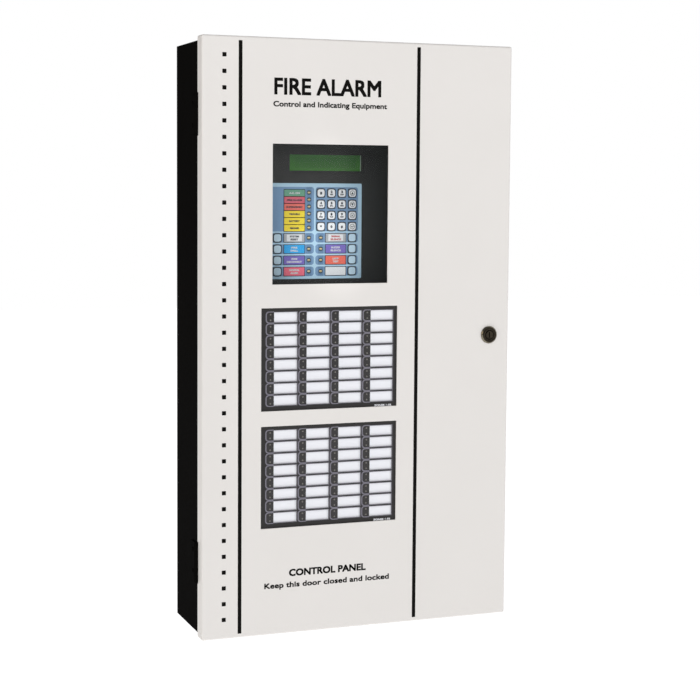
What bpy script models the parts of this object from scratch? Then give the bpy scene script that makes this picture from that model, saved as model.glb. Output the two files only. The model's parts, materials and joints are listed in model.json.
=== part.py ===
"""Wall-mounted fire alarm control panel: a black steel backbox with a white hinged door.

Metres, +Z up. The door faces -Y, +Y points into the wall and +X is to the right of somebody
standing in front. The origin is the centre of the backbox's back face, on the wall.

The door carries two zone annunciators and a clear pane. Behind the pane, on the main board,
stands the display bracket with its text display, keypad and indicator lights.
"""

import math

import bmesh
import bpy
from mathutils import Matrix, Vector

# ---------------------------------------------------------------- driving dimensions
SHEET = 0.0015
CLEARANCE = 0.0003
PANEL_DEPTH = 0.107

DOOR_WIDTH = 0.368
DOOR_HEIGHT = 0.660
DOOR_RETURN = 0.0175
DOOR_BEND = 0.002
DOOR_GAP = 0.0015

BOX_WIDTH = 0.367
BOX_HEIGHT = 0.650
BOX_LIP = 0.015

DOOR_FRONT_Y = -PANEL_DEPTH
DOOR_SKIN_Y = DOOR_FRONT_Y + SHEET
DOOR_RIM_Y = DOOR_FRONT_Y + DOOR_RETURN
BOX_FRONT_Y = DOOR_RIM_Y + DOOR_GAP
BOX_FLOOR_Y = -SHEET

# Door openings: centre x, centre z, width, height
WINDOW_X = -0.036
DISPLAY_WINDOW = (WINDOW_X, 0.138, 0.136, 0.154)
UPPER_WINDOW = (WINDOW_X, -0.022, 0.161, 0.114)
LOWER_WINDOW = (WINDOW_X, -0.153, 0.161, 0.114)

# Hinges
HINGE_X = -DOOR_WIDTH / 2 - 0.0008
HINGE_Y = (DOOR_RIM_Y + BOX_FRONT_Y) / 2
HINGE_Z = 0.246
KNUCKLE_RADIUS = 0.003
HINGE_LENGTH = 0.042
MIDDLE_KNUCKLE = 0.022
LEAF = 0.0012
PIN_RADIUS = 0.0015
PIN_OVERHANG = 0.0017
BORE_RADIUS = 0.00185
KNUCKLE_ROOM = 0.00055
STRAP_INSET = 0.0001

# Key lock
LOCK_X = 0.159
LOCK_Z = -0.001
LOCK_HEAD_RADIUS = 0.010
LOCK_BARREL_RADIUS = 0.0078
LOCK_REAR_Y = -0.090
PLUG_RADIUS = 0.0053
PLUG_BORE = 0.0057
CAM_FRONT_Y = BOX_FRONT_Y + SHEET + CLEARANCE
CAM_THICKNESS = 0.002
CAM_REACH = 0.021
CAM_WIDTH = 0.012
TAIL = 0.006

# Zone annunciators, on the door: four columns of eight zones
ZONE_COLUMNS = 4
ZONE_ROWS = 8
ZONE_PITCH_X = 0.03805
ZONE_PITCH_Z = 0.0132
ZONE_OFFSET = (0.0011, 0.0005)
ZONE_OPENING = (0.0355, 0.0111)
ZONE_LED_STRIP = 0.0085
FACEPLATE = 0.001
FACEPLATE_OVERLAP = 0.005
LABEL_CARD = 0.0004
BOARD = 0.0016
ZONE_BOARD_Y = DOOR_SKIN_Y + 0.0045
LED_HALF = 0.0013
ZONE_LED_PAIR = 0.009

# Chassis and main board
CHASSIS_Y = -0.014
CHASSIS_SHEET = 0.0012
CHASSIS_HALF_WIDTH = 0.160
CHASSIS_LOW_Z = -0.215
CHASSIS_HIGH_Z = 0.300
BOARD_BACK_Y = -0.0204
BOARD_FRONT_Y = BOARD_BACK_Y - BOARD
BOARD_HALF_WIDTH = 0.150
BOARD_LOW_Z = 0.030
BOARD_HIGH_Z = 0.290

# Display bracket and what it carries
BRACKET_X = (-0.137, 0.063)
BRACKET_Z = (0.042, 0.232)
BRACKET_FRONT_Y = -0.0562
BRACKET_RETURN = 0.010
OVERLAY = 0.0005
OVERLAY_FRONT_Y = BRACKET_FRONT_Y - CLEARANCE - OVERLAY
OVERLAY_X = (-0.094, 0.0195)
OVERLAY_Z = (0.0638, 0.1722)
LCD_OPENING = (-0.024, 0.1955, 0.092, 0.023)
LCD_VIEW = (-0.0235, 0.1954, 0.0868, 0.0186)
LCD_MODULE = (-0.0235, 0.1955, 0.116, 0.0370)
DISPLAY_BOARD_Y = -0.052

# Keys stand on a half-inch grid
KEY_PITCH = 0.0127
KEY_RIGHT_X = 0.0079
KEY_LEFT_X = -0.0821
KEY_TOP_Z = 0.1612
KEY_SIZE = 0.0096
KEY_CORNER = 0.0024
KEY_FRONT_Y = OVERLAY_FRONT_Y - 0.0009
KEY_BACK_Y = -0.0545
KEY_TRAVEL = 0.0005
INDICATOR_X = (-0.0445, -0.0301)
INDICATOR_PITCH = 0.00796
INDICATOR_RADIUS = 0.0015

# The harness from the main board to the door
HARNESS_X = -0.157
HARNESS_Y = -0.0885
HARNESS_RADIUS = 0.002
HARNESS_SPLIT_Z = -0.005

BATTERY = (0.151, 0.065, 0.094)
BATTERY_CENTRES = (-0.082, 0.082)

KEYPAD = (
    ("key_1", "key_2", "key_3", "key_up"),
    ("key_4", "key_5", "key_6", "key_down"),
    ("key_7", "key_8", "key_9", "key_cancel"),
    ("key_star", "key_0", "key_hash", "key_enter"),
)
LEFT_KEYS = ("key_system_reset", "key_fire_drill", "key_disconnect", "key_general_alarm")
RIGHT_KEYS = ("key_signal_silence", "key_acknowledge", "key_lamp_test", "key_spare")


# ---------------------------------------------------------------- materials
def make_material(name, colour, roughness, metallic=0.0, alpha=1.0):
    """A plain Principled material."""
    material = bpy.data.materials.new(name)
    material.use_nodes = True
    shader = material.node_tree.nodes["Principled BSDF"]
    shader.inputs["Base Color"].default_value = (*colour, 1.0)
    shader.inputs["Roughness"].default_value = roughness
    shader.inputs["Metallic"].default_value = metallic
    shader.inputs["Alpha"].default_value = alpha
    material.diffuse_color = (*colour, alpha)
    return material


def make_materials():
    """Every finish on the panel, by name."""
    return {
        "white_paint": make_material("white_paint", (0.80, 0.78, 0.76), 0.45),
        "black_paint": make_material("black_paint", (0.01, 0.01, 0.01), 0.5),
        "bezel_black": make_material("bezel_black", (0.03, 0.032, 0.032), 0.5),
        "chrome": make_material("chrome", (0.6, 0.6, 0.58), 0.15, 1.0),
        "zinc": make_material("zinc", (0.62, 0.63, 0.65), 0.35, 1.0),
        "clear_sheet": make_material("clear_sheet", (0.95, 0.97, 0.97), 0.03, 0.0, 0.15),
        "label_card": make_material("label_card", (0.88, 0.89, 0.94), 0.6),
        "circuit_board": make_material("circuit_board", (0.02, 0.16, 0.07), 0.4),
        "overlay_blue": make_material("overlay_blue", (0.25, 0.42, 0.58), 0.4),
        "key_white": make_material("key_white", (0.80, 0.84, 0.88), 0.4),
        "key_blue": make_material("key_blue", (0.48, 0.66, 0.78), 0.4),
        "lcd": make_material("lcd", (0.05, 0.14, 0.04), 0.3),
        "terminal_green": make_material("terminal_green", (0.03, 0.30, 0.12), 0.45),
        "core_steel": make_material("core_steel", (0.25, 0.24, 0.23), 0.5, 0.8),
        "battery_case": make_material("battery_case", (0.10, 0.10, 0.11), 0.5),
        "ribbon_grey": make_material("ribbon_grey", (0.45, 0.46, 0.47), 0.5),
        "lead_red": make_material("lead_red", (0.45, 0.02, 0.02), 0.4),
    }


# ---------------------------------------------------------------- shapes
def add_block(bm, low, high):
    """Adds a closed box between two corners."""
    centre = (Vector(low) + Vector(high)) / 2
    size = Vector(high) - Vector(low)
    matrix = Matrix.Translation(centre) @ Matrix.Diagonal((*size, 1.0))
    return bmesh.ops.create_cube(bm, size=1.0, matrix=matrix)["verts"]


def point_along(axis, a, b, t):
    """A point with t along the axis, and a and b along the other two in X, Y, Z order."""
    return {"X": (t, a, b), "Y": (a, t, b), "Z": (a, b, t)}[axis]


def add_prism(bm, outline, axis, low, high):
    """Adds a closed prism: an outline of (a, b) points carried along an axis from low to high."""
    first = [bm.verts.new(point_along(axis, a, b, low)) for a, b in outline]
    face = bm.faces.new(first)
    made = bmesh.ops.extrude_face_region(bm, geom=[face])["geom"]
    moved = [v for v in made if isinstance(v, bmesh.types.BMVert)]
    offset = Vector(point_along(axis, 0.0, 0.0, high - low))
    bmesh.ops.translate(bm, verts=moved, vec=offset)
    return first + moved


def circle(a, b, radius, sides, turn=0.0):
    """Points round a circle."""
    steps = [turn + 2 * math.pi * k / sides for k in range(sides)]
    return [(a + radius * math.cos(t), b + radius * math.sin(t)) for t in steps]


def rectangle(a, b, width, height):
    """The four corners of a rectangle about a centre."""
    w, h = width / 2, height / 2
    return [(a - w, b - h), (a + w, b - h), (a + w, b + h), (a - w, b + h)]


def rounded_rectangle(a, b, width, height, radius, steps=1):
    """A rectangle whose corners are arcs of a few steps each."""
    points = []
    for quarter, (sign_a, sign_b) in enumerate(((1, 1), (-1, 1), (-1, -1), (1, -1))):
        corner_a = a + sign_a * (width / 2 - radius)
        corner_b = b + sign_b * (height / 2 - radius)
        for step in range(steps + 1):
            t = math.pi / 2 * (quarter + step / steps)
            points.append((corner_a + radius * math.cos(t), corner_b + radius * math.sin(t)))
    return points


def add_cylinder(bm, centre, radius, axis, low, high, sides=16, turn=0.0):
    """Adds a closed cylinder; centre is (a, b) across the axis."""
    return add_prism(bm, circle(*centre, radius, sides, turn), axis, low, high)


def make_object(name, bm, material=None, parent=None, origin=None):
    """Turns a bmesh into a named object. Its origin is put at the given point."""
    bmesh.ops.recalc_face_normals(bm, faces=bm.faces)
    origin = Vector(origin or (0.0, 0.0, 0.0))
    bmesh.ops.translate(bm, verts=bm.verts, vec=-origin)
    mesh = bpy.data.meshes.new(name)
    bm.to_mesh(mesh)
    bm.free()
    mesh.shade_smooth()
    mesh.set_sharp_from_angle(angle=math.radians(32))
    if material:
        mesh.materials.append(material)
    obj = bpy.data.objects.new(name, mesh)
    obj.location = origin
    bpy.context.scene.collection.objects.link(obj)
    if parent:
        obj.parent = parent
        obj.matrix_parent_inverse = Matrix.Translation(parent.location).inverted()
    return obj


def apply_boolean(obj, operation, bm):
    """Cuts the shapes in bm from obj, or joins them to it, with a live Boolean."""
    helper = make_object(f"{obj.name}_{operation.lower()}_{len(obj.modifiers)}", bm, parent=obj.parent)
    helper.hide_render = True
    helper.display_type = "WIRE"
    modifier = obj.modifiers.new(operation.title(), "BOOLEAN")
    modifier.operation = operation
    modifier.solver = "EXACT"
    modifier.object = helper
    return obj


def make_axis(name, location):
    """An empty on a joint's axis, which the pieces that move about it are parented to."""
    empty = bpy.data.objects.new(name, None)
    empty.location = location
    empty.empty_display_size = 0.02
    bpy.context.scene.collection.objects.link(empty)
    return empty


# ---------------------------------------------------------------- backbox
def make_backbox(finish):
    """The folded steel box: back, four walls and a lip turned in round the front opening."""
    half_w, half_h = BOX_WIDTH / 2, BOX_HEIGHT / 2
    shell = bmesh.new()
    add_block(shell, (-half_w, BOX_FRONT_Y, -half_h), (half_w, 0.0, half_h))
    box = make_object("backbox", shell, finish["black_paint"])

    cavity = bmesh.new()
    add_block(
        cavity,
        (-half_w + SHEET, BOX_FRONT_Y + SHEET, -half_h + SHEET),
        (half_w - SHEET, BOX_FLOOR_Y, half_h - SHEET),
    )
    apply_boolean(box, "DIFFERENCE", cavity)

    cuts = bmesh.new()
    add_block(
        cuts,
        (-half_w + BOX_LIP, BOX_FRONT_Y - SHEET, -half_h + BOX_LIP),
        (half_w - BOX_LIP, BOX_FRONT_Y + 2 * SHEET, half_h - BOX_LIP),
    )
    for z in (-HINGE_Z, HINGE_Z):
        add_hinge_notch(cuts, z, BOX_FRONT_Y - SHEET, HINGE_Y + KNUCKLE_RADIUS + KNUCKLE_ROOM)
    for x in (-0.1524, 0.1524):
        for z in (-0.200, 0.308):
            add_keyhole(cuts, x, z - 0.006)
    apply_boolean(box, "DIFFERENCE", cuts)
    apply_boolean(box, "DIFFERENCE", knockout_rings())
    return box


def add_hinge_notch(bm, z, low_y, high_y):
    """Room for a hinge's knuckles in the left edge of the box or the door."""
    half = HINGE_LENGTH / 2 + PIN_OVERHANG + KNUCKLE_ROOM
    add_block(
        bm,
        (-DOOR_WIDTH / 2 - 0.01, low_y, z - half),
        (HINGE_X + KNUCKLE_RADIUS + KNUCKLE_ROOM, high_y, z + half),
    )


def add_keyhole(bm, x, z):
    """A wall-screw keyhole: a round entry below a narrow slot, through the back."""
    entry, neck, rise = 0.0055, 0.0028, 0.011
    outline = []
    for t in (-0.5, -0.25, 0.0, 0.25, 0.5):
        turn = math.pi / 2 + t * math.pi
        outline.append((x + neck * math.cos(turn), z + rise + neck * math.sin(turn)))
    shoulder = math.asin(neck / entry)
    sweep = 2 * math.pi - 2 * shoulder
    for k in range(13):
        turn = math.pi / 2 + shoulder + sweep * k / 12
        outline.append((x + entry * math.cos(turn), z + entry * math.sin(turn)))
    add_prism(bm, outline, "Y", -0.004, 0.004)


def knockout_rings():
    """Scored rings for the conduit knockouts in the top and bottom walls."""
    half_inch, three_quarter = 0.0111, 0.0143
    depth, width, sides = 0.0007, 0.0008, 12
    middle_y = BOX_FRONT_Y / 2
    half_h = BOX_HEIGHT / 2
    rings = bmesh.new()

    def add_ring(surface, x, radius):
        inner = circle(x, middle_y, radius - width, sides)
        outer = circle(x, middle_y, radius, sides)
        low, high = sorted((surface - math.copysign(depth, surface), surface * 1.01))
        add_tube(rings, outer, inner, "Z", low, high)

    for x, radius in ((-0.11, half_inch), (-0.045, three_quarter), (0.045, three_quarter), (0.11, half_inch)):
        add_ring(half_h, x, radius)
    for x in (-0.12, 0.12):
        add_ring(-half_h, x, half_inch)
    return rings


def add_tube(bm, outer, inner, axis, low, high):
    """Adds a closed ring of rectangular section between two outlines of equal length."""
    rings = []
    for outline, t in ((outer, low), (outer, high), (inner, high), (inner, low)):
        rings.append([bm.verts.new(point_along(axis, a, b, t)) for a, b in outline])
    count = len(outer)
    for ring, following in zip(rings, rings[1:] + rings[:1]):
        for k in range(count):
            n = (k + 1) % count
            bm.faces.new((ring[k], ring[n], following[n], following[k]))


# ---------------------------------------------------------------- door
def make_door(finish, swing):
    """The white door: a shallow pan with three windows, a lock hole and hinge notches."""
    half_w, half_h = DOOR_WIDTH / 2, DOOR_HEIGHT / 2
    pan = bmesh.new()
    add_block(pan, (-half_w, DOOR_FRONT_Y, -half_h), (half_w, DOOR_RIM_Y, half_h))
    bends = [e for e in pan.edges if min(v.co.y for v in e.verts) < DOOR_FRONT_Y + 1e-6]
    bmesh.ops.bevel(pan, geom=bends, offset=DOOR_BEND, segments=3, affect="EDGES", profile=0.5)
    door = make_object("door", pan, finish["white_paint"], swing)

    hollow = bmesh.new()
    add_block(
        hollow,
        (-half_w + SHEET, DOOR_SKIN_Y, -half_h + SHEET),
        (half_w - SHEET, DOOR_RIM_Y + SHEET, half_h - SHEET),
    )
    apply_boolean(door, "DIFFERENCE", hollow)

    cuts = bmesh.new()
    for x, z, width, height in (DISPLAY_WINDOW, UPPER_WINDOW, LOWER_WINDOW):
        add_prism(cuts, rectangle(x, z, width, height), "Y", DOOR_FRONT_Y - SHEET, DOOR_SKIN_Y + SHEET)
    hole = LOCK_BARREL_RADIUS + 2 * CLEARANCE
    add_cylinder(cuts, (LOCK_X, LOCK_Z), hole, "Y", DOOR_FRONT_Y - SHEET, DOOR_SKIN_Y + SHEET, 24)
    for z in (-HINGE_Z, HINGE_Z):
        add_hinge_notch(cuts, z, HINGE_Y - KNUCKLE_RADIUS - KNUCKLE_ROOM, DOOR_RIM_Y + SHEET)
    return apply_boolean(door, "DIFFERENCE", cuts)


def make_display_window(finish, swing):
    """The clear pane that closes the display opening from behind."""
    x, z, width, height = DISPLAY_WINDOW
    pane = bmesh.new()
    outline = rounded_rectangle(x, z, width + 0.012, height + 0.012, 0.004)
    add_prism(pane, outline, "Y", DOOR_SKIN_Y + CLEARANCE, DOOR_SKIN_Y + CLEARANCE + 0.002)
    make_object("display_window", pane, finish["clear_sheet"], swing)


# ---------------------------------------------------------------- hinges
def make_hinge(finish, label, z, swing):
    """A three-knuckle hinge: two knuckles on the box, one on the door, and a pin."""
    half, middle = HINGE_LENGTH / 2, MIDDLE_KNUCKLE / 2
    axis = (HINGE_X, HINGE_Y)
    box_side_x = -BOX_WIDTH / 2 - CLEARANCE
    room_y = HINGE_Y + KNUCKLE_RADIUS + KNUCKLE_ROOM

    plate = bmesh.new()
    add_block(plate, (box_side_x - LEAF, room_y, z - half), (box_side_x, room_y + 0.020, z + half))
    leaf = make_object(f"hinge_{label}_box_leaf", plate, finish["black_paint"])
    left, right = box_side_x - LEAF + STRAP_INSET, box_side_x - STRAP_INSET
    strap = [(right, room_y + 0.004), (left, room_y + 0.004)]
    section = knuckle_arc(angle_at(left), 2 * math.pi + angle_at(right)) + strap
    for end in (-1, 1):
        low, high = sorted((z + end * (middle + CLEARANCE), z + end * half))
        knuckle = bmesh.new()
        add_prism(knuckle, section, "Z", low, high)
        apply_boolean(leaf, "UNION", knuckle)
    rivets = bmesh.new()
    for offset in (-0.012, 0.012):
        rivet_y = room_y + 0.012
        face = box_side_x - LEAF
        add_cylinder(rivets, (rivet_y, z + offset), 0.0022, "X", face - 0.0007, face + 0.0002, 10)
    apply_boolean(leaf, "UNION", rivets)
    apply_boolean(leaf, "DIFFERENCE", bore(axis, z))

    door_plate = bmesh.new()
    inner_x = -DOOR_WIDTH / 2 + SHEET + CLEARANCE
    neck_y = HINGE_Y - KNUCKLE_RADIUS - KNUCKLE_ROOM
    add_block(door_plate, (inner_x, neck_y - 0.011, z - half), (inner_x + LEAF, neck_y, z + half))
    door_leaf = make_object(f"hinge_{label}_door_leaf", door_plate, finish["zinc"], swing)
    left, right = inner_x + STRAP_INSET, inner_x + LEAF - STRAP_INSET
    strap = [(right, HINGE_Y - 0.0004), (right, neck_y - 0.004), (left, neck_y - 0.004)]
    knuckle = bmesh.new()
    section = knuckle_arc(-angle_at(left), -2 * math.pi) + strap
    add_prism(knuckle, section, "Z", z - middle, z + middle)
    apply_boolean(door_leaf, "UNION", knuckle)
    apply_boolean(door_leaf, "DIFFERENCE", bore(axis, z))

    pin = bmesh.new()
    add_cylinder(pin, axis, PIN_RADIUS, "Z", z - half - PIN_OVERHANG, z + half + 0.0004, 12)
    pin_object = make_object(f"hinge_{label}_pin", pin, finish["zinc"])
    head = bmesh.new()
    add_cylinder(head, axis, 0.0026, "Z", z + half + CLEARANCE, z + half + PIN_OVERHANG, 12)
    apply_boolean(pin_object, "UNION", head)


def angle_at(x):
    """The angle, above the hinge's X axis, at which a knuckle's outside crosses x."""
    return math.acos((x - HINGE_X) / KNUCKLE_RADIUS)


def knuckle_arc(start, end, steps=13):
    """Points round a knuckle's outside, from one angle to another."""
    turns = [start + (end - start) * k / steps for k in range(steps + 1)]
    return [(HINGE_X + KNUCKLE_RADIUS * math.cos(t), HINGE_Y + KNUCKLE_RADIUS * math.sin(t)) for t in turns]


def bore(axis, z):
    """The cutter for a hinge's pin hole."""
    cutter = bmesh.new()
    half = HINGE_LENGTH / 2 + 0.002
    add_cylinder(cutter, axis, BORE_RADIUS, "Z", z - half, z + half, 12)
    return cutter


# ---------------------------------------------------------------- key lock
def make_lock(finish, swing, turn):
    """A cam lock: housing and nut on the door, plug and cam that turn in it."""
    centre = (LOCK_X, LOCK_Z)
    head_back = DOOR_FRONT_Y - CLEARANCE
    head_front = head_back - 0.0027

    head = bmesh.new()
    add_cylinder(head, centre, LOCK_HEAD_RADIUS, "Y", head_front, head_back, 32)
    rim = [e for e in head.edges if max(v.co.y for v in e.verts) < head_front + 1e-6]
    bmesh.ops.bevel(head, geom=rim, offset=0.0009, segments=2, affect="EDGES")
    housing = make_object("lock_housing", head, finish["chrome"], swing)
    barrel = bmesh.new()
    add_cylinder(barrel, centre, LOCK_BARREL_RADIUS, "Y", head_back - 0.001, LOCK_REAR_Y, 24)
    apply_boolean(housing, "UNION", barrel)
    hole = bmesh.new()
    add_cylinder(hole, centre, PLUG_BORE, "Y", head_front - 0.002, LOCK_REAR_Y + 0.002, 24)
    apply_boolean(housing, "DIFFERENCE", hole)

    nut = bmesh.new()
    nut_front = DOOR_SKIN_Y + CLEARANCE
    hexagon = circle(*centre, 0.0127, 6)
    add_prism(nut, hexagon, "Y", nut_front, nut_front + 0.0032)
    nut_object = make_object("lock_nut", nut, finish["zinc"], swing)
    thread = bmesh.new()
    thread_radius = LOCK_BARREL_RADIUS + 2 * CLEARANCE
    add_cylinder(thread, centre, thread_radius, "Y", nut_front - 0.002, nut_front + 0.006, 24)
    apply_boolean(nut_object, "DIFFERENCE", thread)

    plug = bmesh.new()
    plug_end = CAM_FRONT_Y - CLEARANCE
    add_cylinder(plug, centre, PLUG_RADIUS, "Y", head_front + 0.0004, plug_end, 24)
    plug_object = make_object("lock_plug", plug, finish["chrome"], turn)
    cam_back = CAM_FRONT_Y + CAM_THICKNESS
    tail = bmesh.new()
    add_prism(tail, rectangle(*centre, TAIL, TAIL), "Y", plug_end - 0.001, cam_back + 0.001)
    apply_boolean(plug_object, "UNION", tail)
    screw = bmesh.new()
    add_cylinder(screw, centre, 0.0045, "Y", cam_back + CLEARANCE, cam_back + 0.002, 16)
    apply_boolean(plug_object, "UNION", screw)
    keyway = bmesh.new()
    add_prism(keyway, rectangle(*centre, 0.0012, 0.0065), "Y", head_front - 0.002, head_front + 0.006)
    apply_boolean(plug_object, "DIFFERENCE", keyway)

    cam = bmesh.new()
    add_prism(cam, cam_outline(), "Y", CAM_FRONT_Y, cam_back)
    cam_object = make_object("lock_cam", cam, finish["zinc"], turn)
    square = bmesh.new()
    room = TAIL + 2 * CLEARANCE
    add_prism(square, rectangle(*centre, room, room), "Y", CAM_FRONT_Y - 0.001, cam_back + 0.001)
    apply_boolean(cam_object, "DIFFERENCE", square)


def cam_outline():
    """A bar with a round head at the lock's axis, pointing down."""
    half = CAM_WIDTH / 2
    low = LOCK_Z - CAM_REACH
    points = [(LOCK_X - half, low + half / 2), (LOCK_X - half / 2, low)]
    points += [(LOCK_X + half / 2, low), (LOCK_X + half, low + half / 2)]
    for k in range(9):
        t = math.pi * k / 8
        points.append((LOCK_X + half * math.cos(t), LOCK_Z + half * math.sin(t)))
    return points


# ---------------------------------------------------------------- zone annunciators
def zone_centres(window):
    """The centre (x, z) of every zone opening, row by row."""
    x, z = window[:2]
    for row in range(ZONE_ROWS):
        for column in range(ZONE_COLUMNS):
            across = (column - (ZONE_COLUMNS - 1) / 2) * ZONE_PITCH_X
            down = ((ZONE_ROWS - 1) / 2 - row) * ZONE_PITCH_Z
            yield x + across + ZONE_OFFSET[0], z + down + ZONE_OFFSET[1]


def make_annunciator(finish, label, window, swing):
    """Thirty-two zones: a black faceplate, a card of white labels and a board with its lights."""
    x, z, width, height = window
    front = DOOR_SKIN_Y + CLEARANCE
    outer_w = width + 2 * FACEPLATE_OVERLAP
    outer_h = height + 2 * FACEPLATE_OVERLAP

    plate = bmesh.new()
    add_prism(plate, rectangle(x, z, outer_w, outer_h), "Y", front, front + FACEPLATE)
    faceplate = make_object(f"annunciator_{label}_faceplate", plate, finish["bezel_black"], swing)
    openings = bmesh.new()
    for zone_x, zone_z in zone_centres(window):
        opening = rectangle(zone_x, zone_z, *ZONE_OPENING)
        add_prism(openings, opening, "Y", front - 0.001, front + FACEPLATE + 0.001)
    apply_boolean(faceplate, "DIFFERENCE", openings)

    card_front = front + FACEPLATE + CLEARANCE
    card = bmesh.new()
    add_prism(card, rectangle(x, z, width - 0.004, height - 0.003), "Y", card_front, card_front + LABEL_CARD)
    card_object = make_object(f"annunciator_{label}_label_card", card, finish["label_card"], swing)
    slots = bmesh.new()
    for zone_x, _ in list(zone_centres(window))[:ZONE_COLUMNS]:
        slot_x = zone_x - ZONE_OPENING[0] / 2 + ZONE_LED_STRIP / 2
        strip = rectangle(slot_x, z + ZONE_OFFSET[1], ZONE_LED_STRIP, ZONE_ROWS * ZONE_PITCH_Z - 0.001)
        add_prism(slots, strip, "Y", card_front - 0.001, card_front + LABEL_CARD + 0.001)
    apply_boolean(card_object, "DIFFERENCE", slots)

    make_zone_board(finish, label, window, swing, card_front)


def make_zone_board(finish, label, window, swing, card_front):
    """The circuit board behind the card: a pair of lights for each zone, spacers and a header."""
    x, z, width, height = window
    back = ZONE_BOARD_Y + BOARD
    board = bmesh.new()
    add_block(
        board,
        (x - width / 2 - 0.003, ZONE_BOARD_Y, z - height / 2 - 0.003),
        (x + width / 2 + 0.003, back, z + height / 2 + 0.003),
    )
    board_object = make_object(f"annunciator_{label}_board", board, finish["circuit_board"], swing)
    parts = bmesh.new()
    for zone_x, zone_z in zone_centres(window):
        led_x = zone_x - ZONE_OPENING[0] / 2 + ZONE_LED_STRIP / 2
        low = (led_x - LED_HALF, card_front - 0.0006, zone_z - ZONE_LED_PAIR / 2)
        high = (led_x + LED_HALF, ZONE_BOARD_Y + 0.0002, zone_z + ZONE_LED_PAIR / 2)
        add_block(parts, low, high)
    for side in (-1, 1):
        for end in (-1, 1):
            spacer = (x + side * (width / 2), z + end * (height / 2))
            spacer_top = card_front - CLEARANCE + 0.0003
            add_cylinder(parts, spacer, 0.0013, "Y", spacer_top, ZONE_BOARD_Y + 0.0002, 6)
    header_x = x - width / 2 + 0.014
    add_block(parts, (header_x - 0.004, back - 0.0002, z - 0.014), (header_x + 0.004, back + 0.006, z + 0.014))
    add_block(parts, (x - 0.010, back - 0.0002, z - 0.010), (x + 0.010, back + 0.003, z + 0.010))
    for k in range(4):
        driver_x = x - 0.045 + 0.030 * k
        add_block(parts, (driver_x - 0.006, back - 0.0002, z + 0.026), (driver_x + 0.006, back + 0.002, z + 0.034))
        add_block(parts, (driver_x - 0.006, back - 0.0002, z - 0.034), (driver_x + 0.006, back + 0.002, z - 0.026))
    apply_boolean(board_object, "UNION", parts)


# ---------------------------------------------------------------- chassis and main board
def make_chassis(finish):
    """The plated steel tray that carries the boards, with side returns down to the back."""
    tray = bmesh.new()
    half = CHASSIS_HALF_WIDTH
    back = BOX_FLOOR_Y - CLEARANCE
    add_block(tray, (-half, CHASSIS_Y, CHASSIS_LOW_Z), (half, back, CHASSIS_HIGH_Z))
    chassis = make_object("chassis", tray, finish["zinc"])
    under = bmesh.new()
    add_block(
        under,
        (-half + CHASSIS_SHEET, CHASSIS_Y + CHASSIS_SHEET, CHASSIS_LOW_Z - 0.01),
        (half - CHASSIS_SHEET, back + 0.01, CHASSIS_HIGH_Z + 0.01),
    )
    apply_boolean(chassis, "DIFFERENCE", under)
    posts = bmesh.new()
    for x in (-0.143, 0.0, 0.143):
        for z in (0.055, 0.283):
            add_cylinder(posts, (x, z), 0.0032, "Y", BOARD_BACK_Y + CLEARANCE, CHASSIS_Y + 0.0004, 6)
    apply_boolean(chassis, "UNION", posts)
    slots = bmesh.new()
    for x in (-0.1524, 0.1524):
        for z in (-0.200, 0.308):
            add_block(slots, (x - 0.005, CHASSIS_Y - 0.001, z - 0.012), (x + 0.005, CHASSIS_Y + 0.003, z + 0.012))
    return apply_boolean(chassis, "DIFFERENCE", slots)


def make_main_board(finish):
    """The main circuit board with its relays, capacitors, chips, fuses and heat sink."""
    front = BOARD_FRONT_Y
    seat = front + 0.0002
    board = bmesh.new()
    half = BOARD_HALF_WIDTH
    add_block(board, (-half, front, BOARD_LOW_Z), (half, BOARD_BACK_Y, BOARD_HIGH_Z))
    main = make_object("main_board", board, finish["circuit_board"])
    parts = bmesh.new()
    for k in range(6):
        relay_z = 0.085 + 0.020 * k
        add_block(parts, (0.108, front - 0.0155, relay_z - 0.0078), (0.128, seat, relay_z + 0.0078))
    for k in range(3):
        add_cylinder(parts, (0.082, 0.095 + 0.026 * k), 0.0095, "Y", front - 0.024, seat, 16)
    add_block(parts, (-0.060, front - 0.003, 0.120), (-0.030, seat, 0.150))
    add_block(parts, (-0.018, front - 0.003, 0.125), (0.012, seat, 0.140))
    add_block(parts, (-0.060, front - 0.009, 0.055), (-0.012, seat, 0.063))
    for k in range(3):
        fuse_x = -0.120 + 0.026 * k
        add_block(parts, (fuse_x - 0.010, front - 0.008, 0.244), (fuse_x + 0.010, seat, 0.252))
    add_block(parts, (-0.146, front - 0.009, 0.070), (-0.138, seat, 0.100))
    apply_boolean(main, "UNION", parts)
    return apply_boolean(main, "UNION", heat_sink(front, seat))


def heat_sink(front, seat):
    """A comb of fins on the board, as one closed outline carried along Z."""
    left, right, base, fins = 0.066, 0.104, 0.004, 7
    pitch = (right - left) / (fins - 0.5)
    outline = [(right, seat), (left, seat)]
    for k in range(fins):
        x = left + k * pitch
        outline += [(x, front - 0.020), (x + pitch / 2, front - 0.020)]
        if k < fins - 1:
            outline += [(x + pitch / 2, front - base), (x + pitch, front - base)]
    comb = bmesh.new()
    add_prism(comb, outline, "Z", 0.190, 0.245)
    return comb


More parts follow.
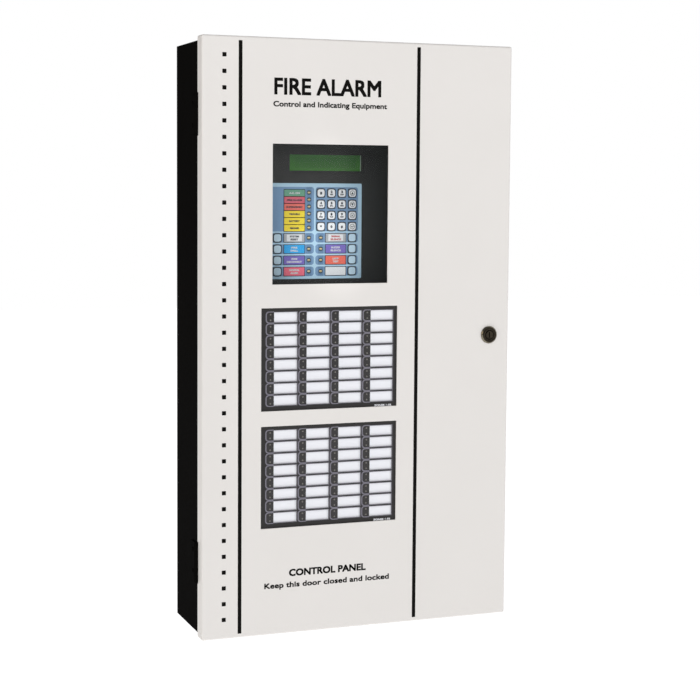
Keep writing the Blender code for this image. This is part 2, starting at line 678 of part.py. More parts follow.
def make_terminal_strip(finish, name, along, start, ways, across):
    """A row of screw terminals: one housing with a screw well and a wire entry for each way."""
    pitch, deep, tall = 0.0115, 0.012, 0.014
    front = BOARD_FRONT_Y - CLEARANCE
    end = start + ways * pitch

    def corner(t, s, y):
        return (t, y, s) if along == "X" else (s, y, t)

    housing = bmesh.new()
    add_block(housing, corner(start, across, front - tall), corner(end, across + deep, front))
    strip = make_object(name, housing, finish["terminal_green"])
    wells = bmesh.new()
    for k in range(ways):
        t = start + (k + 0.5) * pitch
        well = corner(t, across + deep * 0.62, 0.0)
        add_cylinder(wells, (well[0], well[2]), 0.0031, "Y", front - tall - 0.001, front - tall + 0.0045, 6)
        entry_low = corner(t - 0.0028, across - 0.001, front - 0.0085)
        entry_high = corner(t + 0.0028, across + 0.004, front - 0.003)
        add_block(wells, entry_low, entry_high)
    return apply_boolean(strip, "DIFFERENCE", wells)


def make_transformer(finish):
    """The mains transformer: a laminated core with feet, and a coil that bulges front and back."""
    x, z = -0.108, -0.150
    seat = CHASSIS_Y - CLEARANCE
    core = bmesh.new()
    add_block(core, (x - 0.036, seat - 0.044, z - 0.016), (x + 0.036, seat - 0.004, z + 0.016))
    transformer = make_object("transformer", core, finish["core_steel"])
    frame = bmesh.new()
    add_block(frame, (x - 0.044, seat - 0.0042, z - 0.016), (x + 0.044, seat, z + 0.016))
    apply_boolean(transformer, "UNION", frame)
    coil = bmesh.new()
    outline = rounded_rectangle(x, seat - 0.024, 0.044, 0.026, 0.006)
    add_prism(coil, outline, "Z", z - 0.029, z + 0.029)
    return apply_boolean(transformer, "UNION", coil)


def make_mains_terminal(finish):
    """The mains terminal block with its fuse holder, on the chassis."""
    seat = CHASSIS_Y - CLEARANCE
    block = bmesh.new()
    add_block(block, (0.088, seat - 0.018, -0.196), (0.142, seat, -0.170))
    terminal = make_object("mains_terminal_block", block, finish["bezel_black"])
    cuts = bmesh.new()
    for k in range(3):
        x = 0.098 + 0.012 * k
        add_cylinder(cuts, (x, -0.183), 0.0036, "Y", seat - 0.020, seat - 0.011, 10)
    apply_boolean(terminal, "DIFFERENCE", cuts)
    fuse = bmesh.new()
    add_cylinder(fuse, (0.1355, -0.183), 0.0055, "Y", seat - 0.026, seat - 0.016, 16)
    return apply_boolean(terminal, "UNION", fuse)


def make_battery(finish, name, x):
    """A sealed lead-acid battery with a stepped lid and two tab terminals."""
    width, deep, tall = BATTERY
    floor = -BOX_HEIGHT / 2 + SHEET + CLEARANCE
    back = BOX_FLOOR_Y - CLEARANCE
    case = bmesh.new()
    add_block(case, (x - width / 2, back - deep, floor), (x + width / 2, back, floor + tall))
    bmesh.ops.bevel(case, geom=case.edges[:], offset=0.002, segments=1, affect="EDGES")
    battery = make_object(name, case, finish["battery_case"])
    tabs = bmesh.new()
    for side in (-1, 1):
        tab_x = x + side * (width / 2 - 0.012)
        add_block(
            tabs,
            (tab_x - 0.0024, back - 0.024, floor + tall - 0.001),
            (tab_x + 0.0024, back - 0.0232, floor + tall + 0.0065),
        )
    return apply_boolean(battery, "UNION", tabs)


# ---------------------------------------------------------------- display and keypad
def key_rows():
    """The height of each of the eight key rows."""
    return [KEY_TOP_Z - KEY_PITCH * row for row in range(8)]


def key_places():
    """Every key's name with its centre (x, z)."""
    rows = key_rows()
    for row, names in enumerate(KEYPAD):
        for column, name in enumerate(names):
            yield name, KEY_RIGHT_X - KEY_PITCH * (3 - column), rows[row]
    for row, (left, right) in enumerate(zip(LEFT_KEYS, RIGHT_KEYS)):
        yield left, KEY_LEFT_X, rows[4 + row]
        yield right, KEY_RIGHT_X, rows[4 + row]


def indicator_places():
    """The centre of each indicator light beside the labels."""
    for k in range(6):
        yield INDICATOR_X[0], KEY_TOP_Z + 0.0005 - INDICATOR_PITCH * k
    for z in key_rows()[4:]:
        for x in INDICATOR_X:
            yield x, z


def add_key_and_light_holes(bm, low, high, room):
    """Cutters for every key and every light, through a sheet between low and high."""
    key_hole = KEY_SIZE + 2 * room
    light_hole = 2 * (INDICATOR_RADIUS + room)
    for _, x, z in key_places():
        add_prism(bm, rectangle(x, z, key_hole, key_hole), "Y", low, high)
    for x, z in indicator_places():
        add_prism(bm, rectangle(x, z, light_hole, light_hole), "Y", low, high)


def make_display_bracket(finish):
    """The black plate that carries the display and keypad, on four posts above the main board."""
    back = BRACKET_FRONT_Y + SHEET
    plate = bmesh.new()
    add_block(
        plate,
        (BRACKET_X[0], BRACKET_FRONT_Y, BRACKET_Z[0]),
        (BRACKET_X[1], BRACKET_FRONT_Y + BRACKET_RETURN, BRACKET_Z[1]),
    )
    bracket = make_object("display_bracket", plate, finish["bezel_black"])
    cuts = bmesh.new()
    add_block(
        cuts,
        (BRACKET_X[0] + SHEET, back, BRACKET_Z[0] - 0.01),
        (BRACKET_X[1] - SHEET, back + BRACKET_RETURN, BRACKET_Z[1] + 0.01),
    )
    apply_boolean(bracket, "DIFFERENCE", cuts)
    holes = bmesh.new()
    low, high = BRACKET_FRONT_Y - 0.001, back + 0.001
    add_prism(holes, rectangle(*LCD_OPENING), "Y", low, high)
    add_key_and_light_holes(holes, low, high, 1.5 * CLEARANCE)
    apply_boolean(bracket, "DIFFERENCE", holes)
    posts = bmesh.new()
    for x in (BRACKET_X[0] + 0.008, BRACKET_X[1] - 0.008):
        for z in (BRACKET_Z[0] + 0.007, BRACKET_Z[1] - 0.007):
            post_end = BOARD_FRONT_Y - CLEARANCE
            add_cylinder(posts, (x, z), 0.0035, "Y", back - 0.0004, post_end, 6)
    return apply_boolean(bracket, "UNION", posts)


def make_keypad_overlay(finish):
    """The printed blue sheet on the bracket's face, open for the keys and lights."""
    x = sum(OVERLAY_X) / 2
    z = sum(OVERLAY_Z) / 2
    width = OVERLAY_X[1] - OVERLAY_X[0]
    height = OVERLAY_Z[1] - OVERLAY_Z[0]
    back = OVERLAY_FRONT_Y + OVERLAY
    sheet = bmesh.new()
    add_prism(sheet, rounded_rectangle(x, z, width, height, 0.001), "Y", OVERLAY_FRONT_Y, back)
    overlay = make_object("keypad_overlay", sheet, finish["overlay_blue"])
    holes = bmesh.new()
    add_key_and_light_holes(holes, OVERLAY_FRONT_Y - 0.001, back + 0.001, CLEARANCE)
    return apply_boolean(overlay, "DIFFERENCE", holes)


def make_keys(finish):
    """One cap for each key. Each has its origin at its own centre and slides along Y."""
    keypad_names = {name for row in KEYPAD for name in row}
    for name, x, z in key_places():
        cap = bmesh.new()
        outline = rounded_rectangle(x, z, KEY_SIZE, KEY_SIZE, KEY_CORNER)
        add_prism(cap, outline, "Y", KEY_FRONT_Y, KEY_BACK_Y)
        colour = "key_white" if name in keypad_names else "key_blue"
        make_object(name, cap, finish[colour], origin=(x, KEY_FRONT_Y, z))


def make_display_board(finish):
    """The keypad's circuit board: a switch dome under each key and a light in each hole."""
    board = bmesh.new()
    back = DISPLAY_BOARD_Y + BOARD
    add_block(board, (OVERLAY_X[0] - 0.005, DISPLAY_BOARD_Y, 0.056), (OVERLAY_X[1] + 0.005, back, 0.1735))
    display_board = make_object("display_board", board, finish["circuit_board"])
    parts = bmesh.new()
    dome_top = KEY_BACK_Y + KEY_TRAVEL + 0.0002
    for _, x, z in key_places():
        add_prism(parts, rectangle(x, z, 0.006, 0.006), "Y", dome_top, DISPLAY_BOARD_Y + 0.0002)
    light_front = OVERLAY_FRONT_Y + 0.0001
    for place in indicator_places():
        add_cylinder(parts, place, INDICATOR_RADIUS, "Y", light_front, DISPLAY_BOARD_Y + 0.0002, 6)
    add_block(parts, (-0.050, back - 0.0002, 0.060), (-0.022, back + 0.006, 0.068))
    add_block(parts, (-0.070, back - 0.0002, 0.100), (-0.045, back + 0.003, 0.125))
    return apply_boolean(display_board, "UNION", parts)


def make_lcd(finish):
    """The two-line text display: a framed module with its view sunk a little."""
    x, z, width, height = LCD_MODULE
    front = BRACKET_FRONT_Y + SHEET + CLEARANCE
    body = bmesh.new()
    add_prism(body, rectangle(x, z, width, height), "Y", front, front + 0.009)
    module = make_object("lcd_module", body, finish["lcd"])
    view = bmesh.new()
    add_prism(view, rectangle(*LCD_VIEW), "Y", front - 0.001, front + 0.0008)
    return apply_boolean(module, "DIFFERENCE", view)


# ---------------------------------------------------------------- cables
def smooth_route(points, steps):
    """Points along a Catmull-Rom curve through the route, a few for each stretch."""
    route = [Vector(p) for p in points]
    padded = [2 * route[0] - route[1], *route, 2 * route[-1] - route[-2]]
    found = []
    for a, b, c, d in zip(padded, padded[1:], padded[2:], padded[3:]):
        for step in range(steps):
            t = step / steps
            found.append(
                0.5
                * (
                    2 * b
                    + (c - a) * t
                    + (2 * a - 5 * b + 4 * c - d) * t * t
                    + (3 * b - a - 3 * c + d) * t * t * t
                )
            )
    return [*found, route[-1]]


def make_ribbon(finish, name, points, across, width, parent=None, steps=3):
    """A flat cable: a thin strip that follows a route, with its width along one fixed axis."""
    thickness = 0.0009
    route = smooth_route(points, steps)
    side = Vector(across).normalized() * width / 2
    ribbon = bmesh.new()
    rings = []
    for k, point in enumerate(route):
        before, after = route[max(k - 1, 0)], route[min(k + 1, len(route) - 1)]
        normal = (after - before).cross(side).normalized() * thickness / 2
        corners = (side + normal, side - normal, -side - normal, -side + normal)
        rings.append([ribbon.verts.new(point + corner) for corner in corners])
    for ring, following in zip(rings, rings[1:]):
        for k in range(4):
            n = (k + 1) % 4
            ribbon.faces.new((ring[k], ring[n], following[n], following[k]))
    ribbon.faces.new(rings[0])
    ribbon.faces.new(rings[-1])
    make_object(name, ribbon, finish["ribbon_grey"], parent)


def make_round_cable(finish, name, points, radius, material, parent=None, steps=3):
    """A round cable along a smooth curve through its route."""
    curve = bpy.data.curves.new(name, "CURVE")
    curve.dimensions = "3D"
    curve.bevel_depth = radius
    curve.bevel_resolution = 2
    curve.use_fill_caps = True
    spline = curve.splines.new("POLY")
    route = smooth_route(points, steps)
    spline.points.add(len(route) - 1)
    for target, point in zip(spline.points, route):
        target.co = (*point, 1.0)
    curve.materials.append(finish[material])
    cable = bpy.data.objects.new(name, curve)
    bpy.context.scene.collection.objects.link(cable)
    if parent:
        cable.parent = parent
        cable.matrix_parent_inverse = Matrix.Translation(parent.location).inverted()


def make_cables(finish, swing):
    """The flat cables to the display and between the annunciators, the harness and the battery lead."""
    display_header_y = DISPLAY_BOARD_Y + BOARD + 0.0072
    main_header_y = BOARD_FRONT_Y - 0.0100
    make_ribbon(
        finish,
        "display_ribbon",
        [(-0.036, display_header_y, 0.064), (-0.036, display_header_y + 0.003, 0.056),
         (-0.036, main_header_y - 0.004, 0.052), (-0.036, main_header_y, 0.059)],
        (1, 0, 0),
        0.0203,
    )
    rear_header_y = ZONE_BOARD_Y + BOARD + 0.0070
    header_x = WINDOW_X - UPPER_WINDOW[2] / 2 + 0.014
    upper_z, lower_z = UPPER_WINDOW[1], LOWER_WINDOW[1]
    make_ribbon(
        finish,
        "annunciator_link_ribbon",
        [(header_x, rear_header_y, upper_z - 0.004), (header_x, rear_header_y + 0.003, upper_z - 0.030),
         (header_x, rear_header_y + 0.003, lower_z + 0.030), (header_x, rear_header_y, lower_z)],
        (1, 0, 0),
        0.008,
        swing,
    )
    # The harness runs parallel to the hinge axis where it passes from the box to the door.
    split_z = HARNESS_SPLIT_Z
    make_round_cable(
        finish,
        "door_harness_box_end",
        [(-0.1464, -0.0264, 0.085), (-0.1510, -0.0268, 0.085), (-0.155, -0.036, 0.084),
         (-0.156, -0.058, 0.076), (HARNESS_X, -0.078, 0.060), (HARNESS_X, HARNESS_Y, 0.036),
         (HARNESS_X, HARNESS_Y, split_z)],
        HARNESS_RADIUS,
        "ribbon_grey",
    )
    make_round_cable(
        finish,
        "door_harness_door_end",
        [(HARNESS_X, HARNESS_Y, split_z - CLEARANCE), (HARNESS_X, HARNESS_Y, -0.050),
         (-0.154, -0.0888, -0.063), (-0.146, -0.0905, -0.066), (-0.135, -0.0930, -0.050),
         (-0.121, -0.0960, -0.0265), (-0.1072, -0.0964, -0.0222)],
        HARNESS_RADIUS,
        "ribbon_grey",
        swing,
    )
    make_round_cable(
        finish,
        "battery_lead",
        [(0.0195, -0.0254, -0.2195), (0.030, -0.031, -0.204), (0.058, -0.034, -0.186),
         (0.074, -0.030, -0.140), (0.078, -0.026, -0.060), (0.084, -0.028, 0.000),
         (0.092, -0.036, 0.022), (0.100, -0.0365, 0.0285)],
        0.0016,
        "lead_red",
        steps=4,
    )


# ---------------------------------------------------------------- assembly
def main():
    for obj in list(bpy.data.objects):
        bpy.data.objects.remove(obj)
    finish = make_materials()
    swing = make_axis("door_hinge_axis", (HINGE_X, HINGE_Y, 0.0))
    turn = make_axis("lock_axis", (LOCK_X, CAM_FRONT_Y, LOCK_Z))

    make_backbox(finish)
    make_door(finish, swing)
    make_display_window(finish, swing)
    make_hinge(finish, "upper", HINGE_Z, swing)
    make_hinge(finish, "lower", -HINGE_Z, swing)
    make_lock(finish, swing, turn)
    make_annunciator(finish, "upper", UPPER_WINDOW, swing)
    make_annunciator(finish, "lower", LOWER_WINDOW, swing)

    make_chassis(finish)
    make_main_board(finish)
    make_terminal_strip(finish, "terminal_strip_bottom", "X", -0.132, 23, 0.033)
    make_terminal_strip(finish, "terminal_strip_side", "Z", 0.066, 17, 0.1355)
    make_transformer(finish)
    make_mains_terminal(finish)
    make_battery(finish, "battery_left", BATTERY_CENTRES[0])
    make_battery(finish, "battery_right", BATTERY_CENTRES[1])

    make_display_bracket(finish)
    make_keypad_overlay(finish)
    make_keys(finish)
    make_display_board(finish)
    make_lcd(finish)
    make_cables(finish, swing)


main()
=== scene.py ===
# %% [markdown]
# # A fire alarm control panel
# The real panel is a black steel box screwed to a wall and closed by a white steel door. Its joints,
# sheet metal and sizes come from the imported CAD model, which is loaded here as a fixed frame. This
# script adds what the eye needs: paint, print, lenses, legends, components and wires.

# %% Load the frame
import json
import math

import bpy
import numpy as np
from mathutils import Matrix, Vector

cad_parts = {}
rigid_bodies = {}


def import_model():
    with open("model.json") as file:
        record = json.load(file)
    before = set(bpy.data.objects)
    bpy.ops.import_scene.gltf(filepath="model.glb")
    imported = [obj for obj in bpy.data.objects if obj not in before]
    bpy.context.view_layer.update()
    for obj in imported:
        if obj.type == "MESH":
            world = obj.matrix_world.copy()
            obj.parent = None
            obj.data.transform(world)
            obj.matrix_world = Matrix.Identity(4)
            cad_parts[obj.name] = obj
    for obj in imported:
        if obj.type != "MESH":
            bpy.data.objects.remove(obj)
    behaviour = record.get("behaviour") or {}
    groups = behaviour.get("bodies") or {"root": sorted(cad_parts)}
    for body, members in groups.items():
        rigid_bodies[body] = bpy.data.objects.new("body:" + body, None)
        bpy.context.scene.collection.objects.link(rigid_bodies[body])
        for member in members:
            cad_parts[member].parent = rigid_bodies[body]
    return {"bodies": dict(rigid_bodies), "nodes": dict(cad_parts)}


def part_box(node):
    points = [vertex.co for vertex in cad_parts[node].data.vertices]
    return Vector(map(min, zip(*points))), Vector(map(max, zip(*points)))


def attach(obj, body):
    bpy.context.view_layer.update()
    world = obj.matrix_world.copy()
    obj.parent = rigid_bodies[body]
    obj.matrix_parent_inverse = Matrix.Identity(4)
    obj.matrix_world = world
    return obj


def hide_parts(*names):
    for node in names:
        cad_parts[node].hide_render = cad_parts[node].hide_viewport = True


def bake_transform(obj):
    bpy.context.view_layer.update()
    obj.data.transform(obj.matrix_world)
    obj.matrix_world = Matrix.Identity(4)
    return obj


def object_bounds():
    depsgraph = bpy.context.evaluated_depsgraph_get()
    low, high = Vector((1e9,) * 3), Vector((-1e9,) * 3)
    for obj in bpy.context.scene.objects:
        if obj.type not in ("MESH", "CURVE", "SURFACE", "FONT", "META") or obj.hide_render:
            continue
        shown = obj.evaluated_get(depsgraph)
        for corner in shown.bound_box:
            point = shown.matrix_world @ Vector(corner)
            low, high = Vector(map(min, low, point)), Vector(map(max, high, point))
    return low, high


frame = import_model()
cad_low, cad_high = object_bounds()
print("the panel measures", [round(side, 4) for side in cad_high - cad_low])

# %% [markdown]
# ## A few tools
# Every new piece starts as a primitive at its real size and place. Its scale and place are applied at
# once, so that the object sits at the origin and its shape is in its mesh, as on the CAD pieces.
# Operators act on whatever is selected, so each helper first deselects everything.

# %% Modelling helpers
FILM = 0.00012
BOARD_THICKNESS = 0.0016


def deselect():
    """Leaves edit mode and deselects everything."""
    if bpy.context.object and bpy.context.object.mode != "OBJECT":
        bpy.ops.object.mode_set(mode="OBJECT")
    bpy.ops.object.select_all(action="DESELECT")


def activate(obj):
    """Makes obj the only selected object."""
    deselect()
    obj.select_set(True)
    bpy.context.view_layer.objects.active = obj
    return obj


def settle(name):
    """Names the new primitive and applies its place and size to its mesh."""
    obj = bpy.context.object
    bpy.ops.object.transform_apply(location=True, rotation=True, scale=True)
    obj.name = name
    obj.data.name = name
    return obj


def block(name, low, high):
    """A box between two corners."""
    deselect()
    low, high = Vector(low), Vector(high)
    bpy.ops.mesh.primitive_cube_add(size=1.0, location=(low + high) / 2, scale=high - low)
    return settle(name)


def brick(name, x, z, half_width, half_height, front, back):
    """A box about the centre (x, z), between two depths."""
    low = (x - half_width, front, z - half_height)
    return block(name, low, (x + half_width, back, z + half_height))


def bar(name, start, end, radius, sides=16):
    """A cylinder between two points."""
    deselect()
    start, end = Vector(start), Vector(end)
    along = end - start
    turn = along.to_track_quat("Z", "Y").to_euler()
    bpy.ops.mesh.primitive_cylinder_add(
        vertices=sides, radius=radius, depth=along.length, location=(start + end) / 2, rotation=turn
    )
    return settle(name)


def rod(name, centre, radius, front, back, sides=24):
    """A cylinder along Y between two depths, about the centre (x, z)."""
    x, z = centre
    return bar(name, (x, back, z), (x, front, z), radius, sides)


def pick(obj, kind, test):
    """Selects the faces or edges of obj that pass a test on their middle and direction, in edit mode."""
    activate(obj)
    bpy.ops.object.mode_set(mode="EDIT")
    bpy.ops.mesh.select_mode(type=kind)
    bpy.ops.mesh.select_all(action="DESELECT")
    bpy.ops.object.mode_set(mode="OBJECT")
    mesh = obj.data
    if kind == "FACE":
        for face in mesh.polygons:
            face.select = bool(test(face.center, face.normal))
    else:
        for edge in mesh.edges:
            a, b = (mesh.vertices[v].co for v in edge.vertices)
            edge.select = bool(test((a + b) / 2, (b - a).normalized()))
    bpy.ops.object.mode_set(mode="EDIT")


def round_edges(obj, width, segments, test=lambda middle, along: True):
    """Bevels the edges that pass a test."""
    pick(obj, "EDGE", test)
    bpy.ops.mesh.bevel(offset=width, segments=segments, affect="EDGES")
    bpy.ops.object.mode_set(mode="OBJECT")
    return obj


def steps(obj, moves, aim=(0.0, -1.0, 0.0)):
    """Shapes the faces that look along aim. Each move is an inset and a rise: a rise with no inset
    makes an upright wall, and a rise with one makes a slope."""
    aim = Vector(aim)
    pick(obj, "FACE", lambda middle, normal: normal.dot(aim) > 0.9)
    for inset, rise in moves:
        if inset:
            bpy.ops.mesh.inset(thickness=inset)
            bpy.ops.transform.translate(value=aim * rise)
        else:
            bpy.ops.mesh.extrude_region_move(TRANSFORM_OT_translate={"value": aim * rise})
    bpy.ops.object.mode_set(mode="OBJECT")
    return obj


def carve(obj, *cutters):
    """Cuts solids out of a piece."""
    for cutter in cutters:
        cut = obj.modifiers.new("Cut", "BOOLEAN")
        cut.operation = "DIFFERENCE"
        cut.object = cutter
        activate(obj)
        bpy.ops.object.modifier_apply(modifier="Cut")
        bpy.data.objects.remove(cutter)
    return obj


def upright_corners(middle, along):
    """True for an edge that runs along Y, at a corner of a plate that faces the front."""
    return abs(along.y) > 0.9


def left_corners(x):
    """A test for the corners of a plate that lie to the left of x."""
    return lambda middle, along: abs(along.y) > 0.9 and middle.x < x


def upright_z(middle, along):
    """True for an edge that runs along Z."""
    return abs(along.z) > 0.9


def plate(name, centre, size, front, thickness, corner=0.0, segments=3):
    """A thin plate that faces the front, with rounded corners, about the centre (x, z)."""
    half = Vector((size[0] / 2, 0.0, size[1] / 2))
    middle = Vector((centre[0], 0.0, centre[1]))
    low, high = middle - half, middle + half
    low.y, high.y = front, front + thickness
    obj = block(name, low, high)
    if corner:
        round_edges(obj, corner, segments, upright_corners)
    return obj


def copies(obj, offsets):
    """Repeats obj at each offset, each copy with its own mesh, and joins them into one piece."""
    made = []
    for offset in offsets:
        twin = obj.copy()
        twin.data = obj.data.copy()
        twin.data.transform(Matrix.Translation(offset))
        bpy.context.scene.collection.objects.link(twin)
        made.append(twin)
    name = obj.name
    bpy.data.objects.remove(obj)
    return join(name, made)


def join(name, parts):
    """Joins pieces into the first of them."""
    activate(parts[0])
    for part in parts:
        part.select_set(True)
    if len(parts) > 1:
        bpy.ops.object.join()
    parts[0].name = name
    return parts[0]


def coat(obj, material):
    """Gives obj one material."""
    obj.data.materials.clear()
    obj.data.materials.append(material)
    return obj


def tint(obj, material, test):
    """Gives a second material to the faces that pass a test on their middle and direction."""
    obj.data.materials.append(material)
    last = len(obj.data.materials) - 1
    for face in obj.data.polygons:
        if test(face.center, face.normal):
            face.material_index = last
    return obj


def fit(obj, body, stands_for=()):
    """Shades a finished piece, hangs it on its body and hides the CAD nodes that it stands for."""
    activate(obj)
    bpy.ops.object.shade_smooth_by_angle(angle=math.radians(35))
    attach(obj, body)
    if stands_for:
        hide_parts(*stands_for)
    print(f"{obj.name}: {len(obj.data.polygons)} faces on {body}")
    return obj


# %% [markdown]
# ## Shader maths
# A finish is a small graph of nodes. Written node by node it is hard to read, so one class wraps a
# socket and turns `a * 2 + b` into Math nodes, and one method adds any other node with its settings.

# %% Wires and finishes
class Wire:
    """A socket's value, on which Python's operators add Math nodes."""

    def __init__(self, finish, socket):
        self.finish = finish
        self.socket = socket

    def maths(self, operation, *values):
        return self.finish.node("ShaderNodeMath", {"operation": operation}, dict(enumerate(values)))

    def __add__(self, other):
        return self.maths("ADD", self, other)

    def __radd__(self, other):
        return self.maths("ADD", other, self)

    def __sub__(self, other):
        return self.maths("SUBTRACT", self, other)

    def __rsub__(self, other):
        return self.maths("SUBTRACT", other, self)

    def __mul__(self, other):
        return self.maths("MULTIPLY", self, other)

    def __rmul__(self, other):
        return self.maths("MULTIPLY", other, self)

    def __mod__(self, other):
        return self.maths("FLOORED_MODULO", self, other)

    def __lt__(self, other):
        return self.maths("LESS_THAN", self, other)

    def __gt__(self, other):
        return self.maths("GREATER_THAN", self, other)

    def __abs__(self):
        return self.maths("ABSOLUTE", self)

    def root(self):
        return self.maths("SQRT", self)

    def least(self, other):
        return self.maths("MINIMUM", self, other)

    def most(self, other):
        return self.maths("MAXIMUM", self, other)


class Finish:
    """A material with one Principled shader and the nodes that feed it."""

    def __init__(self, name, colour, roughness, metallic=0.0, **constants):
        self.material = bpy.data.materials.new(name)
        self.material.use_nodes = True
        self.tree = self.material.node_tree
        self.shader = self.tree.nodes["Principled BSDF"]
        self.set("Base Color", colour)
        self.set("Roughness", roughness)
        self.set("Metallic", metallic)
        for socket, value in constants.items():
            self.set(socket.replace("_", " "), value)

    def set(self, socket, value):
        """Sets or links one of the shader's sockets."""
        self.fill(self.shader.inputs[socket], value)

    def fill(self, socket, value):
        if isinstance(value, Wire):
            self.tree.links.new(value.socket, socket)
        elif socket.type == "RGBA":
            socket.default_value = (*value[:3], 1.0)
        else:
            socket.default_value = value

    def node(self, kind, settings, inputs, output=0):
        """Adds a node: its settings first, then its sockets, by name or number."""
        node = self.tree.nodes.new(kind)
        for setting, value in settings.items():
            setattr(node, setting, value)
        for socket, value in inputs.items():
            self.fill(node.inputs[socket], value)
        return Wire(self, node.outputs[output])

    def place(self):
        """The point on the object, in metres."""
        return self.node("ShaderNodeTexCoord", {}, {}, "Object")

    def axes(self):
        """The point's x, y and z as three wires."""
        split = self.node("ShaderNodeSeparateXYZ", {}, {0: self.place()}).socket.node
        return [Wire(self, output) for output in split.outputs]

    def noise(self, scale, detail=3.0, roughness=0.5):
        """Soft random values from 0 to 1, with this many features to the metre."""
        settings = {"noise_dimensions": "3D"}
        inputs = {"Vector": self.place(), "Scale": scale, "Detail": detail, "Roughness": roughness}
        return self.node("ShaderNodeTexNoise", settings, inputs)

    def cells(self, scale):
        """Distances within a pattern of random cells, with this many cells to the metre."""
        return self.node("ShaderNodeTexVoronoi", {"feature": "F1"}, {"Vector": self.place(), "Scale": scale})

    def mix(self, factor, first, second):
        """A colour between two colours."""
        inputs = {0: factor, 6: first, 7: second}
        return self.node("ShaderNodeMix", {"data_type": "RGBA"}, inputs, 2)

    def span(self, value, low, high, to_low, to_high):
        """Maps a range of values onto another, and stops at its ends."""
        inputs = {0: value, 1: low, 2: high, 3: to_low, 4: to_high}
        return self.node("ShaderNodeMapRange", {}, inputs)

    def relief(self, height, strength, distance):
        """Makes the surface catch light as if it had this height."""
        inputs = {"Height": height, "Strength": strength, "Distance": distance}
        self.set("Normal", self.node("ShaderNodeBump", {}, inputs))


# %% [markdown]
# ## Paint and metal
# The door and the box are powder coated: sprayed dry and baked, which leaves a fine orange peel. Two
# scales of noise in the bump give that skin, and a faint slow noise keeps the colour from being flat.
# Zinc plating has a streaky sheen, and the lock is cast zinc under dark chrome, kept very dark partly as a
# painted dark reflection.

# %% Paint, plating and plastic
def powder_coat(name, colour, other, roughness, peel, **constants):
    """A baked paint film with a fine orange peel."""
    finish = Finish(name, colour, roughness, **constants)
    finish.set("Base Color", finish.mix(finish.noise(14.0, 4.0), colour, other))
    finish.set("Roughness", finish.span(finish.noise(260.0), 0.3, 0.7, roughness - 0.04, roughness + 0.05))
    finish.relief(finish.noise(900.0, 2.0) + finish.noise(2400.0, 1.0) * 0.5, peel, 0.00025)
    return finish.material


def plated(name, colour, other, roughness, scale, stretch=1.0):
    """Metal under a thin plating, with a slightly uneven sheen."""
    finish = Finish(name, colour, roughness, 1.0)
    grain = finish.noise(scale, 5.0, 0.6)
    finish.set("Base Color", finish.mix(grain, colour, other))
    smooth, rough = roughness - 0.07 * stretch, roughness + 0.1 * stretch
    finish.set("Roughness", finish.span(grain, 0.25, 0.75, smooth, rough))
    finish.relief(finish.noise(scale * 9.0, 2.0), 0.05, 0.0001)
    return finish.material


def moulded(name, colour, roughness, texture=0.12, shade=0.85, **constants):
    """Moulded plastic with a fine spark-eroded texture."""
    finish = Finish(name, colour, roughness, **constants)
    darker = tuple(shade * part for part in colour)
    finish.set("Base Color", finish.mix(finish.noise(120.0, 4.0), colour, darker))
    finish.set("Roughness", finish.span(finish.noise(600.0), 0.3, 0.7, roughness - 0.05, roughness + 0.07))
    finish.relief(finish.cells(2600.0), texture, 0.00008)
    return finish.material


WHITE_PAINT = powder_coat("white_powder_coat", (0.80, 0.775, 0.755), (0.77, 0.745, 0.722), 0.42, 0.10)
BLACK_PAINT = powder_coat(
    "black_powder_coat", (0.0035, 0.0033, 0.0031), (0.005, 0.0046, 0.0043), 0.55, 0.10,
    Specular_IOR_Level=0.001,
)
PLATE_PAINT = powder_coat("dead_front_paint", (0.0085, 0.0095, 0.0095), (0.0105, 0.0115, 0.0115), 0.48, 0.06)
INK = moulded("printed_ink", (0.004, 0.0035, 0.003), 0.5, 0.03, Specular_IOR_Level=0.06)
ZINC = plated("zinc_plate", (0.62, 0.63, 0.65), (0.50, 0.51, 0.54), 0.32, 60.0)
STEEL = plated("bright_steel", (0.66, 0.66, 0.66), (0.58, 0.58, 0.57), 0.22, 220.0)
# The lock's chrome is very dark partly for its dark finish and partly as a painted dark reflection of its
# surroundings.
CHROME = plated("dark_chrome_and_painted_reflection", (0.040, 0.034, 0.025), (0.020, 0.017, 0.013), 0.17, 180.0, 0.5)
BRASS = plated("brass", (0.62, 0.47, 0.22), (0.48, 0.36, 0.16), 0.24, 240.0, 0.5)
# Paler chrome for the lock's chamfer and key slot walls: a painted highlight.
CHROME_HIGHLIGHT = plated("chrome_painted_highlight", (0.26, 0.24, 0.18), (0.13, 0.115, 0.085), 0.10, 240.0, 0.5)
TIN = plated("tinned_leads", (0.60, 0.60, 0.59), (0.50, 0.50, 0.50), 0.30, 300.0, 0.6)
BLACK_PLASTIC = moulded("black_plastic", (0.012, 0.012, 0.013), 0.42)
FACEPLATE_BLACK = moulded("faceplate_black", (0.024, 0.0225, 0.0225), 0.46, 0.08, Specular_IOR_Level=0.3)
print("finishes so far:", len(bpy.data.materials))

# %% [markdown]
# ## Edges on the sheet metal
# The CAD solids have razor edges. Real folded steel has a small radius, which is what catches the
# light. On the door and the box a Weld modifier joins the loose triangles, and a Bevel after it rounds
# only the sharp corners, so each keeps its own mesh and size. The small parts inside stay as they are.

# %% Soften and paint the CAD pieces
nodes = frame["nodes"]


def finish_node(name, material, edge=0.0, segments=2):
    """Paints a CAD piece, and rounds its sharp edges if an edge radius is given."""
    obj = coat(nodes[name], material)
    if edge:
        weld = obj.modifiers.new("Weld", "WELD")
        weld.merge_threshold = 1e-6
        bevel = obj.modifiers.new("Bevel", "BEVEL")
        bevel.width = edge
        bevel.segments = segments
        bevel.limit_method = "ANGLE"
        bevel.angle_limit = math.radians(42)
        bevel.harden_normals = True
        bevel.use_clamp_overlap = True
    print(name, "is", material.name)
    return obj


